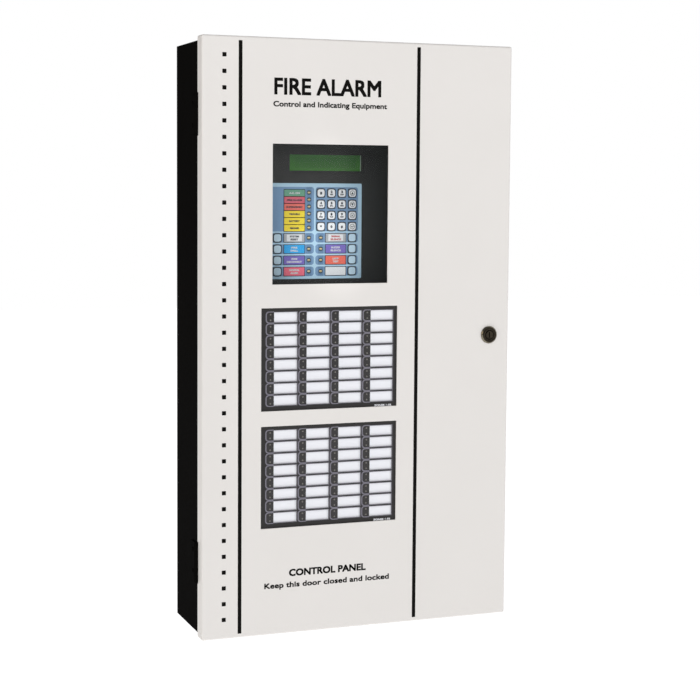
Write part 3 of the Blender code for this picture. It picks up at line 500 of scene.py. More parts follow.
finish_node("door", WHITE_PAINT, 0.0004)
finish_node("backbox", BLACK_PAINT, 0.0002, 1)
finish_node("display_bracket", PLATE_PAINT)
for name in ("chassis", "lock_nut", "lock_cam"):
    finish_node(name, ZINC)
for corner in ("upper", "lower"):
    for part in ("box_leaf", "door_leaf", "pin"):
        finish_node(f"hinge_{corner}_{part}", BLACK_PAINT)

# %% [markdown]
# ## The camera and the light
# The panel is seen a little from its left and from slightly above its middle. The room is plain: a pale
# floor, a white surround, and large soft lights in front, so that the white door reads even and the
# black side of the box stays deep. The door shades the keypad behind its window, so a narrow beam of
# its own comes down through the pane and lights it.

# %% Floor, world, lights and camera
def pale_floor():
    deselect()
    bpy.ops.mesh.primitive_plane_add(size=40.0, location=(0.0, 0.0, cad_low.z - 1.2))
    floor = settle("floor")
    finish = Finish("floor_paint", (0.9, 0.9, 0.9), 0.7, Specular_IOR_Level=0.2)
    finish.set("Emission Color", (1.0, 1.0, 1.0))
    finish.set("Emission Strength", 0.9)
    coat(floor, finish.material)


def white_room(light, background):
    """A surround that looks white, and lights the object less than it looks."""
    world = bpy.data.worlds.new("studio")
    bpy.context.scene.world = world
    world.use_nodes = True
    tree = world.node_tree
    shader = tree.nodes["Background"]
    shader.inputs["Color"].default_value = (1.0, 1.0, 1.0, 1.0)
    seen = tree.nodes.new("ShaderNodeLightPath").outputs["Is Camera Ray"]
    strength = tree.nodes.new("ShaderNodeMapRange")
    strength.inputs["To Min"].default_value = light
    strength.inputs["To Max"].default_value = background
    tree.links.new(seen, strength.inputs["Value"])
    tree.links.new(strength.outputs["Result"], shader.inputs["Strength"])


def hang(light, place, target):
    """Puts a lamp at a place and turns it to its target."""
    lamp = bpy.data.objects.new(light.name, light)
    lamp.location = place
    lamp.rotation_euler = (Vector(target) - Vector(place)).to_track_quat("-Z", "Y").to_euler()
    bpy.context.scene.collection.objects.link(lamp)


def softbox(name, place, target, size, power, colour=(1.0, 1.0, 1.0)):
    """A square area light that looks at a target."""
    light = bpy.data.lights.new(name, "AREA")
    light.shape = "RECTANGLE"
    light.size, light.size_y = size
    light.energy = power
    light.color = colour
    hang(light, place, target)


def snoot(name, place, target, angle, power):
    """A narrow beam that reaches into the window and lights the keypad behind it."""
    light = bpy.data.lights.new(name, "SPOT")
    light.energy = power
    light.spot_size = math.radians(angle)
    light.spot_blend = 0.6
    light.shadow_soft_size = 0.02
    hang(light, place, target)


def aim_camera():
    """The lens looks along the axis that the shift then moves within the frame."""
    camera = bpy.data.cameras.new("camera")
    camera.lens = 83.76
    camera.sensor_width = 36.0
    camera.shift_x = -0.0083
    camera.shift_y = -0.0609
    camera.clip_start = 0.05
    obj = bpy.data.objects.new("camera", camera)
    forward = Vector((0.35718, 0.93104, -0.07478)).normalized()
    up = Vector((0.01997, 0.07243, 0.99717))
    right = forward.cross(up).normalized()
    up = right.cross(forward)
    turn = Matrix((right, up, -forward)).transposed()
    obj.matrix_world = Matrix.Translation((-0.65702, -1.80434, 0.17034)) @ turn.to_4x4()
    bpy.context.scene.collection.objects.link(obj)
    bpy.context.scene.camera = obj


pale_floor()
white_room(0.22, 1.0)
softbox("key_light", (-0.9, -2.6, 1.6), (0, 0, 0.05), (1.8, 1.8), 30.8)
softbox("fill_light", (1.9, -2.4, 0.6), (0, 0, 0), (1.6, 2.0), 11.0, (1.0, 0.99, 0.97))
softbox("warm_light", (-2.6, -0.5, 0.9), (-0.18, -0.1, 0), (1.2, 1.6), 8.0, (1.0, 0.84, 0.66))
snoot("keypad_light", (-0.230, -1.200, 1.440), (-0.026, -0.057, 0.077), 3.4, 74.0)
aim_camera()
bpy.context.scene.view_settings.view_transform = "Standard"
print("camera and lights are in place")

# %% [markdown]
# ## Print on the door
# Two long lines, a column of small squares and a few words are screen printed on the paint in black.
# Ink stands about a tenth of a millimetre proud, so each mark is a thin closed slab on the door's
# face. Slabs stay crisp at any distance, which a painted-on pattern doesn't.

# %% Lines and squares
door_low, door_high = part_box("door")
DOOR_FACE = door_low.y
LINE_WIDTH = 0.0042
LINE_PLACES = (-0.1409, 0.0680)
LINE_HEIGHT = door_high.z - door_low.z - 0.0095
SQUARE_X, SQUARE_TOP, SQUARE_PITCH, SQUARE_COUNT, SQUARE_SIZE = -0.159, 0.3095, 0.01765, 36, 0.0046

lines = [
    plate("door_line", (x, 0.0), (LINE_WIDTH, LINE_HEIGHT), DOOR_FACE - FILM, FILM, 0.0004, 1)
    for x in LINE_PLACES
]
fit(coat(join("door_lines", lines), INK), "door")

square = plate(
    "door_squares", (SQUARE_X, SQUARE_TOP), (SQUARE_SIZE, SQUARE_SIZE), DOOR_FACE - FILM, FILM, 0.0005, 2
)
squares = copies(square, [(0, 0, -SQUARE_PITCH * k) for k in range(SQUARE_COUNT)])
fit(coat(squares, INK), "door")

# %% [markdown]
# ## Lettering
# Text is typed as a text object, thickened a little and turned into a mesh, then stood upright and
# scaled to the width that it has on the door. The words are plain descriptions of the equipment.

# %% Words on the door
CAPITAL = 0.729


def lettering(name, words, left, right, base, height, front, weight=0.0, strike=0.0):
    """Raised words between two x places, standing on the height base, with capitals this tall. A bold
    word is struck four times, a little apart, as on a typewriter."""
    deselect()
    bpy.ops.object.text_add(location=(0, 0, 0))
    text = bpy.context.object
    text.data.body = words
    text.data.extrude = FILM / 2
    text.data.offset = weight
    text.data.resolution_u = 3
    bpy.ops.object.convert(target="MESH")
    text = bpy.context.object
    corners = np.array([v.co for v in text.data.vertices])
    low, high = corners.min(0), corners.max(0)
    wide = (right - left) / (high[0] - low[0])
    tall = height / CAPITAL
    text.data.transform(Matrix.Translation((-low[0], 0, 0)))
    text.data.transform(Matrix.Diagonal((wide, tall, 1.0, 1.0)))
    text.data.transform(Matrix.Rotation(math.pi / 2, 4, "X"))
    text.data.transform(Matrix.Translation((left, front - FILM / 2, base)))
    activate(text)
    bpy.ops.object.mode_set(mode="EDIT")
    bpy.ops.mesh.select_all(action="SELECT")
    bpy.ops.mesh.remove_doubles(threshold=1e-6)
    bpy.ops.object.mode_set(mode="OBJECT")
    text.name = name
    if strike:
        strikes = enumerate(((-1, -1), (1, -1), (-1, 1), (1, 1)))
        text = copies(text, [(side * strike, -k * FILM / 40, up * strike) for k, (side, up) in strikes])
    return text


DOOR_WORDS = (
    ("FIRE ALARM", (-0.102, 0.022, 0.2688, 0.0182), 0.00062),
    ("Control and Indicating Equipment", (-0.1034, 0.0295, 0.2555, 0.0058), 0.00025),
    ("CONTROL PANEL", (-0.083, 0.008, -0.2650, 0.0076), 0.00042),
    ("Keep this door closed and locked", (-0.112, 0.0366, -0.2775, 0.0060), 0.00027),
)
words = [lettering("words", text, *place, DOOR_FACE, strike=strike) for text, place, strike in DOOR_WORDS]
fit(coat(join("door_lettering", words), INK), "door")

# %% [markdown]
# ## Zone annunciators
# Behind each of the two lower openings sits a black faceplate with 32 little windows. Each window
# shows a white paper label and, at its left, a dark lens with two lights behind it. A grey line is
# printed round each lens. One of each is modelled at the first zone and copied to the others.

# %% Zone places
ZONES_ACROSS, ZONES_DOWN = 4, 8
ZONE_STEP = (0.03805, -0.0132)
LENS_WIDTH = 0.0085
ZONE_WINDOW = (0.0355, 0.0111)


def zone_offsets():
    """The step from the first zone to each zone."""
    return [
        (ZONE_STEP[0] * across, 0.0, ZONE_STEP[1] * down)
        for down in range(ZONES_DOWN)
        for across in range(ZONES_ACROSS)
    ]


def first_zone(face):
    """The middle of the top left zone window of an annunciator whose faceplate is given."""
    low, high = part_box(face)
    middle = (low + high) / 2
    return (
        middle.x + 0.0011 - 1.5 * ZONE_STEP[0],
        middle.z + 0.0005 - 3.5 * ZONE_STEP[1],
        low.y,
    )


# %% Finishes for the annunciators
LABEL = moulded("label_paper", (0.89, 0.90, 0.955), 0.62, 0.04, 0.975)
OUTLINE = moulded("grey_outline_ink", (0.20, 0.19, 0.235), 0.5, 0.02)
SMOKED = moulded("smoked_lens", (0.020, 0.0185, 0.019), 0.22, 0.02)
LIGHT_OFF = moulded("unlit_light", (0.16, 0.15, 0.14), 0.12, 0.0)


def board_finish(name, mask, copper):
    """Solder mask with tracks that show as paler lines, and speckled pads."""
    finish = Finish(name, mask, 0.32)
    x, _, z = finish.axes()
    wander = finish.noise(30.0, 0.0) * 0.005
    along = abs(((x + wander) % 0.0035) - 0.00175) < 0.0004
    up = abs(((z + wander) % 0.0042) - 0.0021) < 0.00042
    region = finish.noise(22.0, 0.0) > 0.5
    tracks = along * region + up * (1.0 - region)
    dots = (finish.cells(230.0) < 0.16) * 1.0
    finish.set("Base Color", finish.mix(dots, finish.mix(tracks, mask, copper), (0.42, 0.42, 0.38)))
    finish.relief(tracks + dots, 0.15, 0.0001)
    return finish.material


BOARD_GREEN = board_finish("green_board", (0.008, 0.085, 0.030), (0.018, 0.150, 0.055))


# %% [markdown]
# ## Parts that every board has
# A circuit board is a slab of green glass fibre with rounded corners. A chip is a black moulded block
# with legs along two sides, a ribbon socket is a shell with rows of pins inside, and the small surface
# mounted parts are tiny blocks with tinned ends, modelled once and copied in rows.

# %% Boards, chips, sockets and small parts
def board_slab(name, low, high):
    """A circuit board with rounded corners."""
    slab = round_edges(block(name, low, high), 0.0015, 2, upright_corners)
    steps(slab, [(0.0004, 0.0)])
    return coat(slab, BOARD_GREEN)


def chip(name, centre, size, base, top, legs):
    """A chip that stands on a board at the depth base, with a row of legs above and below."""
    x, z = centre
    out = math.copysign(1.0, top - base)
    near, far = sorted((base + 0.0003 * out, top))
    body = brick(name, x, z, size[0] / 2, size[1] / 2, near, far)
    round_edges(body, 0.0002, 1)
    first_leg = (x - size[0] / 2 + 0.0012, z - size[1] / 2 + 0.0012)
    dot = rod("dot", first_leg, 0.00045, top, top + 0.0001 * out, 8)
    pitch = (size[0] - 0.0016) / (legs - 1)
    near, far = sorted((base, base + 0.0009 * out))
    leg = brick("legs", 0.0, 0.0, 0.00018, size[1] / 2 + 0.0009, near, far)
    row = copies(leg, [(x + (k - (legs - 1) / 2) * pitch, 0.0, z) for k in range(legs)])
    return [coat(body, BLACK_PLASTIC), coat(dot, TIN), coat(row, TIN)]


def socket_shell(name, centre, size, base, top, pitch=0.00254):
    """A boxed ribbon socket with two rows of pins inside it."""
    x, z = centre
    out = math.copysign(1.0, top - base)
    near, far = sorted((base, top))
    shell = brick(name, x, z, size[0] / 2, size[1] / 2, near, far)
    steps(shell, [(0.0009, 0.0), (0, -0.7 * abs(top - base))], (0.0, out, 0.0))
    count = int((max(size) - 0.004) / pitch)
    near, far = sorted((base, top - 0.0008 * out))
    pin = brick("pins", 0.0, 0.0, 0.0003, 0.0003, near, far)
    spots = []
    for k in range(count):
        for side in (-0.5, 0.5):
            along, across = (k - (count - 1) / 2) * pitch, side * pitch
            flat = size[0] > size[1]
            spots.append((x + along, 0.0, z + across) if flat else (x + across, 0.0, z + along))
    return [coat(shell, BLACK_PLASTIC), coat(copies(pin, spots), BRASS)]


def small_parts(left, right, heights, base, pitch, out=1.0):
    """Rows of tiny resistors between two x places, at some heights, on the side that out says."""
    near, far = sorted((base, base + 0.0007 * out))
    count = int((right - left) / pitch)
    spots = [(left + k * pitch, 0.0, z) for z in heights for k in range(count)]
    body = brick("resistor", 0.0, 0.0, 0.0011, 0.0006, near, far)
    ends = brick("ends", 0.0, 0.0, 0.0016, 0.00063, near, far - 0.0001)
    return [coat(copies(body, spots), BLACK_PLASTIC), coat(copies(ends, spots), TIN)]


# %% Build both annunciators
def light_dome(name, centre, radius, front, rise):
    """A small light with a domed end, about the centre (x, z)."""
    deselect()
    bpy.ops.mesh.primitive_uv_sphere_add(
        segments=10, ring_count=6, radius=radius, location=(centre[0], front, centre[1]), scale=(1, rise, 1)
    )
    return settle(name)


def zone_outline(name, zone_x, zone_z, front):
    """The grey line round one window: rounded on the lens side, square and finer on the label side."""
    left = zone_x - ZONE_WINDOW[0] / 2 - 0.0013
    right = zone_x + ZONE_WINDOW[0] / 2 + 0.0005
    size = (right - left, -ZONE_STEP[1] - 0.0001)
    line = plate(name, ((left + right) / 2, zone_z), size, front - FILM, FILM)
    round_edges(line, 0.0034, 4, left_corners(zone_x))
    hole = plate("hole", (zone_x, zone_z), ZONE_WINDOW, front - 2 * FILM, 4 * FILM)
    round_edges(hole, 0.0028, 4, left_corners(zone_x))
    start = zone_x - ZONE_WINDOW[0] / 2 + LENS_WIDTH
    middle_x = (start + right + 0.001) / 2
    thin = (right + 0.001 - start, 0.0011)
    slots = [
        plate("slot", (middle_x, zone_z + side * size[1] / 2), thin, front - 2 * FILM, 4 * FILM)
        for side in (-1, 1)
    ]
    return carve(line, hole, *slots)


def annunciator(place):
    """The labels, lenses, lights, outlines and board of one annunciator."""
    face = f"annunciator_{place}_faceplate"
    x, z, front = first_zone(face)
    coat(nodes[face], FACEPLATE_BLACK)
    coat(nodes[f"annunciator_{place}_label_card"], LABEL)

    lens_x = x - ZONE_WINDOW[0] / 2 + LENS_WIDTH / 2
    lens = plate(f"zone_lenses_{place}", (lens_x, z), (LENS_WIDTH, 0.0109), front + 0.0004, 0.0007)
    round_edges(lens, 0.0024, 3, left_corners(lens_x))
    fit(coat(copies(lens, zone_offsets()), SMOKED), "door")

    pair = [
        light_dome("light", (lens_x + 0.0002, z + side * 0.0031), 0.00105, front + 0.0004, 0.55)
        for side in (-1, 1)
    ]
    lights = copies(join(f"zone_lights_{place}", pair), zone_offsets())
    fit(coat(lights, LIGHT_OFF), "door")

    line = zone_outline(f"zone_outlines_{place}", x, z, front)
    fit(coat(copies(line, zone_offsets()), OUTLINE), "door")

    window_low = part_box(face)[0].z + 0.0054
    name = f"zone_range_{place}"
    text = lettering(name, "ZONES 1-32", 0.0180, 0.0385, window_low, 0.0019, front, 0.012, 0.0001)
    fit(coat(text, LABEL), "door")

    rear_board(place)


def rear_board(place):
    """The board behind the card, with its header, processor, driver chips and spacers."""
    node = f"annunciator_{place}_board"
    low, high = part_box(node)
    back = high.y - 0.006
    middle = (low + high) / 2
    board = board_slab(f"zone_board_{place}", (low.x, back - BOARD_THICKNESS, low.z), (high.x, back, high.z))
    fit(board, "door", (node,))
    header = socket_shell("header", (low.x + 0.017, middle.z), (0.008, 0.028), back, back + 0.006)
    fit(join(f"zone_header_{place}", header), "door")
    parts = chip("chip", (middle.x, middle.z), (0.019, 0.019), back, back + 0.0026, 12)
    for k in range(4):
        for side in (-1, 1):
            centre = (middle.x - 0.045 + 0.030 * k, middle.z + side * 0.030)
            parts += chip("chip", centre, (0.0115, 0.0062), back, back + 0.0019, 8)
    fit(join(f"zone_chips_{place}", parts), "door")
    parts = []
    for side in (-1, 1):
        for end in (-1, 1):
            centre = (middle.x + side * 0.0805, middle.z + end * 0.057)
            post = steps(rod("spacer", centre, 0.0024, back, back + 0.0009, 6), [(0.0003, 0.0002)], (0, 1, 0))
            parts.append(coat(post, STEEL))
    fit(join(f"zone_nuts_{place}", parts), "door")
    parts = small_parts(low.x + 0.030, high.x - 0.012, (low.z + 0.012, high.z - 0.016), back, 0.0078)
    fit(join(f"zone_resistors_{place}", parts), "door")


for place in ("upper", "lower"):
    annunciator(place)

# %% [markdown]
# ## The clear pane
# Polycarbonate lets almost all the light through. A real refracting glass would keep the lamps from
# lighting what is behind it, so the pane is a thin pale film: mostly see-through, with a faint veil.

# %% The pane
VEIL = 0.04
pane = Finish("clear_pane", (0.16, 0.17, 0.17), 0.06, Alpha=VEIL)
coat(nodes["display_window"], pane.material)
print("the pane lets through", 1 - VEIL)

# %% [markdown]
# ## The keypad overlay
# The keypad wears a printed plastic sheet. Its ground is pale blue, with rounded panels in a deeper
# blue round the status labels, round the number keys and round each row of function keys. The panels
# are printed flat, so they are a pattern in the finish: the distance to a rounded rectangle says which
# colour a point gets.

# %% Overlay print
overlay_low, overlay_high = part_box("keypad_overlay")
OVERLAY_FACE = overlay_low.y


def key_centre(name):
    """The middle (x, z) of a key."""
    low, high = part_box(name)
    middle = (low + high) / 2
    return middle.x, middle.z


LEFT_KEYS = ("key_system_reset", "key_fire_drill", "key_disconnect", "key_general_alarm")
RIGHT_KEYS = ("key_signal_silence", "key_acknowledge", "key_lamp_test", "key_spare")
GRID_STEP = 0.0127
KEYPAD_TOP = key_centre("key_1")[1]
ROWS = [key_centre(name)[1] for name in RIGHT_KEYS]
PANEL_LEFT, PANEL_SPLIT, PANEL_RIGHT = overlay_low.x - 0.004, -0.0374, 0.0151
PANEL_GAP = 0.0019
PANEL_CORNER = 0.0032
INDICATOR_COLUMNS = (-0.0445, -0.0301)


def outside(x, z, centre, size, corner):
    """How far a point is outside a rounded rectangle."""
    across = (abs(x - centre[0]) - (size[0] / 2 - corner)).most(0.0)
    up = (abs(z - centre[1]) - (size[1] / 2 - corner)).most(0.0)
    return (across * across + up * up).root() - corner


def between(low, high):
    """The middle and size of a rectangle from its corners (x, z)."""
    centre = ((low[0] + high[0]) / 2, (low[1] + high[1]) / 2)
    return centre, (high[0] - low[0], high[1] - low[1])


def overlay_print():
    """Pale blue with rounded panels in a deeper blue, and a darker column behind the lights."""
    finish = Finish("overlay_print", (0.3, 0.45, 0.58), 0.38)
    x, _, z = finish.axes()
    half_gap = PANEL_GAP / 2
    floor = ROWS[0] + GRID_STEP / 2
    ceiling = overlay_high.z - 0.0042
    left = (PANEL_LEFT, PANEL_SPLIT - half_gap)
    right = (PANEL_SPLIT + half_gap, PANEL_RIGHT)
    top_left = between((left[0], floor + half_gap), (left[1], ceiling))
    top_right = between((right[0], floor + half_gap), (right[1], ceiling))
    upper = outside(x, z, *top_left, PANEL_CORNER).least(outside(x, z, *top_right, PANEL_CORNER))
    row_z = ((z - (ROWS[3] - GRID_STEP / 2)) % GRID_STEP) - GRID_STEP / 2
    row_size = GRID_STEP - PANEL_GAP
    row_left = between((left[0], -row_size / 2), (left[1], row_size / 2))
    row_right = between((right[0], -row_size / 2), (right[1], row_size / 2))
    rows = outside(x, row_z, *row_left, PANEL_CORNER).least(outside(x, row_z, *row_right, PANEL_CORNER))
    below = z < floor
    above_end = z > (ROWS[3] - GRID_STEP / 2)
    panel = (upper < 0.0) * (1.0 - below) + (rows < 0.0) * below * above_end
    first, second = [abs(x - column) < 0.0034 for column in INDICATOR_COLUMNS]
    lamp_column = first.most(second * below)
    pale = finish.mix(finish.noise(60.0), (0.50, 0.74, 0.91), (0.46, 0.70, 0.875))
    deep = finish.mix(lamp_column, (0.190, 0.345, 0.560), (0.130, 0.255, 0.430))
    finish.set("Base Color", finish.mix(panel, pale, deep))
    finish.set("Roughness", finish.span(finish.noise(500.0), 0.3, 0.7, 0.32, 0.45))
    finish.relief(finish.noise(1800.0), 0.05, 0.0001)
    return finish.material


coat(nodes["keypad_overlay"], overlay_print())

# %% [markdown]
# ## Labels and outlines on the overlay
# Each status light has a coloured label beside it, and each function key has one too. A label is a
# slip of card with a dark printed edge, so it is two thin slabs, one on the other. Every key and
# every light also has a dark ring printed round its hole.

# %% Label slips
STATUS_TOP = 0.1651
STATUS_STEP = 0.00793
LABEL_MIDDLE = (-0.0619, -0.0120)
LABEL_SIZE = (0.0244, 0.0094)
EDGE = 0.0008
SLIP_LINE, SLIP_LETTER = 0.0034, 0.00176

SLIP_COLOURS = {
    "green": (0.150, 0.400, 0.270),
    "crimson": (0.72, 0.135, 0.19),
    "salmon": (0.84, 0.17, 0.135),
    "yellow": (0.96, 0.76, 0.035),
    "white": (0.80, 0.83, 0.86),
    "blue": (0.020, 0.41, 0.88),
    "purple": (0.20, 0.15, 0.56),
    "rose": (0.92, 0.17, 0.25),
    "orange_red": (0.94, 0.17, 0.115),
    "blank": (0.88, 0.92, 0.95),
    "margin": (0.44, 0.47, 0.50),
}
SLIPS = {name: moulded(f"slip_{name}", colour, 0.5, 0.02, 0.96) for name, colour in SLIP_COLOURS.items()}
EDGE_INK = moulded("dark_edge_ink", (0.020, 0.034, 0.055), 0.45, 0.02)
PALE_INK = moulded("pale_ink", (0.75, 0.78, 0.80), 0.5, 0.02)
RED_INK = moulded("red_ink", (0.55, 0.06, 0.06), 0.5, 0.02)

STATUS_SLIPS = (
    ("green", "A.C. ON", "pale"),
    ("crimson", "FIRE ALARM", "dark"),
    ("salmon", "SUPERVISORY", "dark"),
    ("yellow", "TROUBLE", "dark"),
    ("yellow", "BATTERY", "dark"),
    ("yellow", "GROUND", "dark"),
)
LEFT_SLIPS = (
    ("white", "SYSTEM\nRESET", "dark"),
    ("blue", "FIRE\nDRILL", "pale"),
    ("purple", "ZONE\nDISCONNECT", "pale"),
    ("rose", "GENERAL\nALARM", "pale"),
)
RIGHT_SLIPS = (
    ("white", "SIGNAL\nSILENCE", "red"),
    ("purple", "BUZZER\nSILENCE", "pale"),
    ("orange_red", "LAMP\nTEST", "pale"),
    ("blank", "", "dark"),
)
INKS = {"pale": PALE_INK, "dark": EDGE_INK, "red": RED_INK}


def slip(name, centre, size, colour, words, ink):
    """A card slip with a dark edge and one or two lines of small capitals."""
    outer = (size[0] + 2 * EDGE, size[1] + 2 * EDGE)
    edge = plate(f"{name}_edge", centre, outer, OVERLAY_FACE - FILM, FILM, 0.0007, 2)
    face = OVERLAY_FACE - 2 * FILM
    card = plate(name, centre, size, face, FILM, 0.0004, 1)
    parts = [coat(edge, EDGE_INK), coat(card, SLIPS[colour])]
    if colour == "white":
        parts[1].data.materials[0] = SLIPS["margin"]
        inner = plate(f"{name}_inner", centre, (0.74 * size[0], 0.80 * size[1]), face - FILM, FILM, 0.0003, 1)
        parts.append(coat(inner, SLIPS["white"]))
        face -= FILM
    rows = words.split("\n") if words else []
    for k, word in enumerate(rows):
        base = centre[1] + (len(rows) / 2 - k) * SLIP_LINE - 0.0027
        left, right = [centre[0] + side * len(word) * SLIP_LETTER / 2 for side in (-1, 1)]
        text = lettering("word", word, left, right, base, 0.0019, face, 0.008, 0.00012)
        parts.append(coat(text, INKS[ink]))
    return parts


def all_slips():
    """Six status slips in a column, and two columns of slips beside the function keys."""
    parts = []
    for k, (colour, words, ink) in enumerate(STATUS_SLIPS):
        centre = (LABEL_MIDDLE[0], STATUS_TOP - STATUS_STEP * (k + 0.5))
        parts += slip(f"status_{k}", centre, (LABEL_SIZE[0], STATUS_STEP - EDGE), colour, words, ink)
    for middle, slips in zip(LABEL_MIDDLE, (LEFT_SLIPS, RIGHT_SLIPS)):
        for z, (colour, words, ink) in zip(ROWS, slips):
            parts += slip("function", (middle, z), LABEL_SIZE, colour, words, ink)
    return join("overlay_labels", parts)


fit(all_slips(), "cabinet")


# %% Rings round the keys and lights
def hollow(obj, width):
    """Turns a thin plate that faces the front into a ring of this width."""
    pick(obj, "FACE", lambda middle, normal: abs(normal.y) > 0.9)
    bpy.ops.mesh.inset(thickness=width, use_boundary=True)
    bpy.ops.mesh.bridge_edge_loops()
    bpy.ops.object.mode_set(mode="OBJECT")
    return obj


def ring(name, centre, outer, inner, corner, front, segments=4):
    """A flat rounded ring that faces the front."""
    disc = plate(name, centre, (outer, outer), front - FILM, FILM, corner, segments)
    return hollow(disc, (outer - inner) / 2)


KEY_NAMES = [body for body in frame["bodies"] if body.startswith("key_")]
KEY_PLACES = {name: key_centre(name) for name in KEY_NAMES}
INDICATORS = [(INDICATOR_COLUMNS[0], KEYPAD_TOP + 0.0005 - 0.00796 * k) for k in range(6)]
INDICATORS += [(x, z) for z in ROWS for x in INDICATOR_COLUMNS]


def steps_from(origin, places):
    """The step from one place (x, z) to each of the others."""
    return [(x - origin[0], 0.0, z - origin[1]) for x, z in places]


places = list(KEY_PLACES.values())
key_ring = ring("key_outlines", places[0], 0.0112, 0.0097, 0.0037, OVERLAY_FACE)
RING_INK = moulded("ring_ink", (0.032, 0.062, 0.105), 0.45, 0.02)
fit(coat(copies(key_ring, steps_from(places[0], places)), RING_INK), "cabinet")

LAMP_RING = moulded("lamp_ring_ink", (0.060, 0.110, 0.17), 0.45, 0.02)
lamp_ring = ring("light_outlines", INDICATORS[0], 0.0052, 0.0034, 0.0020, OVERLAY_FACE, segments=3)
fit(coat(copies(lamp_ring, steps_from(INDICATORS[0], INDICATORS)), LAMP_RING), "cabinet")

# %% [markdown]
# ## Indicator lights
# Fourteen small amber lights stand on the keypad's board and look out through the overlay. They are
# off, so the amber resin shows only as a dull gold dome.

# %% Lights and the keypad's board
AMBER = moulded("amber_light", (0.86, 0.70, 0.36), 0.2, 0.0, 0.85)
lamp = light_dome("indicator_lights", INDICATORS[0], 0.0011, OVERLAY_FACE + 0.0001, 0.75)
to_lamp = Matrix.Translation((INDICATORS[0][0], 0, 0))
lamp.data.transform(to_lamp @ Matrix.Diagonal((1.7, 1, 1, 1)) @ to_lamp.inverted())
fit(coat(copies(lamp, steps_from(INDICATORS[0], INDICATORS)), AMBER), "cabinet")

KEYPAD_BACK = -0.0504
board_low, board_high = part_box("display_board")
keypad_corner = (board_low.x, KEYPAD_BACK - BOARD_THICKNESS, board_low.z)
keypad_board = block("keypad_board", keypad_corner, (board_high.x, KEYPAD_BACK, board_high.z))
round_edges(keypad_board, 0.0015, 2, upright_corners)
fit(coat(keypad_board, BOARD_GREEN), "cabinet", ("display_board",))

header = socket_shell("keypad_header", (-0.036, 0.064), (0.028, 0.008), KEYPAD_BACK, board_high.y)
fit(join("keypad_header", header), "cabinet")
parts = chip("keypad_chips", (-0.0575, 0.1125), (0.022, 0.022), KEYPAD_BACK, -0.0476, 14)
for z in (0.090, 0.140, 0.152):
    parts += chip("driver", (-0.040, z), (0.0115, 0.0062), KEYPAD_BACK, -0.0486, 8)
parts += small_parts(board_low.x + 0.008, board_high.x - 0.008, (0.0745, 0.164), KEYPAD_BACK, 0.0066)
fit(join("keypad_chips", parts), "cabinet")

switch = plate("key_switches", places[0], (0.006, 0.006), -0.0538, 0.0018, 0.0005, 1)
fit(coat(copies(switch, steps_from(places[0], places)), BLACK_PLASTIC), "cabinet")

# %% [markdown]
# ## Keys
# A key is a small moulded cap with rounded corners and a softly dished face. Sixteen are white with
# printed legends, eight are plain blue. Each rides on its own body, so each can be pressed alone.

# %% Build the keys
KEY_WHITE = moulded("key_white", (0.93, 0.96, 0.98), 0.40, 0.03, 0.985)
KEY_BLUE = moulded("key_blue", (0.60, 0.81, 0.95), 0.40, 0.03, 0.975)
LEGENDS = {
    "key_1": ("1", ""), "key_2": ("2", "ABC"), "key_3": ("3", "DEF"),
    "key_4": ("4", "GHI"), "key_5": ("5", "JKL"), "key_6": ("6", "MNO"),
    "key_7": ("7", "PRS"), "key_8": ("8", "TUV"), "key_9": ("9", "WXY"),
    "key_star": ("*", ""), "key_0": ("0", ""), "key_hash": ("#", ""),
}
SYMBOLS = {"key_up": "▲", "key_down": "▼", "key_cancel": "X", "key_enter": "↵"}
CAP_SIZE, CAP_CORNER, CAP_RIM = 0.0095, 0.0029, 0.00055


def key_cap(name, colour):
    """A cap with rounded corners, a dark rim and dark sides, and a shallow dish."""
    low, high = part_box(name)
    x, z = key_centre(name)
    thickness = high.y - low.y - 0.0002
    cap = plate(name, (x, z), (CAP_SIZE, CAP_SIZE), low.y + 0.0002, thickness, CAP_CORNER, 4)
    # The whole cap starts dark; only its face is tinted below, so its sides and the rim round its face stay
    # dark.
    coat(cap, EDGE_INK)
    steps(cap, [(CAP_RIM, 0.0), (0.0003, 0.0002), (0.0009, -0.00012)])
    straight = CAP_SIZE / 2 - CAP_CORNER

    def on_top(middle, normal):
        across = max(abs(middle.x - x) - straight, 0.0)
        up = max(abs(middle.z - z) - straight, 0.0)
        return normal.y < -0.1 and math.hypot(across, up) < CAP_CORNER - 0.8 * CAP_RIM

    return tint(cap, colour, on_top)


def legend(name, face):
    """The ink on a white key."""
    x, z = KEY_PLACES[name]

    def centred(words, half, base, height, weight, strike):
        return lettering("legend", words, x - half, x + half, base, height, face, weight, strike)

    if name in SYMBOLS:
        rim = hollow(rod("rim", (x, z), 0.0030, face - FILM, face, 20), 0.0005)
        return [rim, centred(SYMBOLS[name], 0.0014, z - 0.0013, 0.0024, 0.0, 0.00012)]
    digit, letters = LEGENDS[name]
    lift = 0.0001 if letters else -0.0014
    parts = [centred(digit, 0.00095, z + lift, 0.0027, 0.015, 0.00018)]
    if letters:
        parts.append(centred(letters, 0.0020, z - 0.0024, 0.0015, 0.01, 0.0001))
    return parts


for name in KEY_NAMES:
    blue = name in LEFT_KEYS + RIGHT_KEYS
    parts = [key_cap(name, KEY_BLUE if blue else KEY_WHITE)]
    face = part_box(name)[0].y + 0.00012
    if not blue:
        parts += [coat(part, EDGE_INK) for part in legend(name, face)]
    fit(join(f"cap_{name[4:]}", parts), name, (name,))

# %% [markdown]
# ## The text display
# The display is a bought module: a black pressed frame round a sheet of yellow-green liquid crystal.
# It is switched off, so its forty character cells are only just darker than the ground.

# %% Display module
lcd_low, lcd_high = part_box("lcd_module")
VIEW = ((-0.0235, 0.1954), (0.0868, 0.0186))


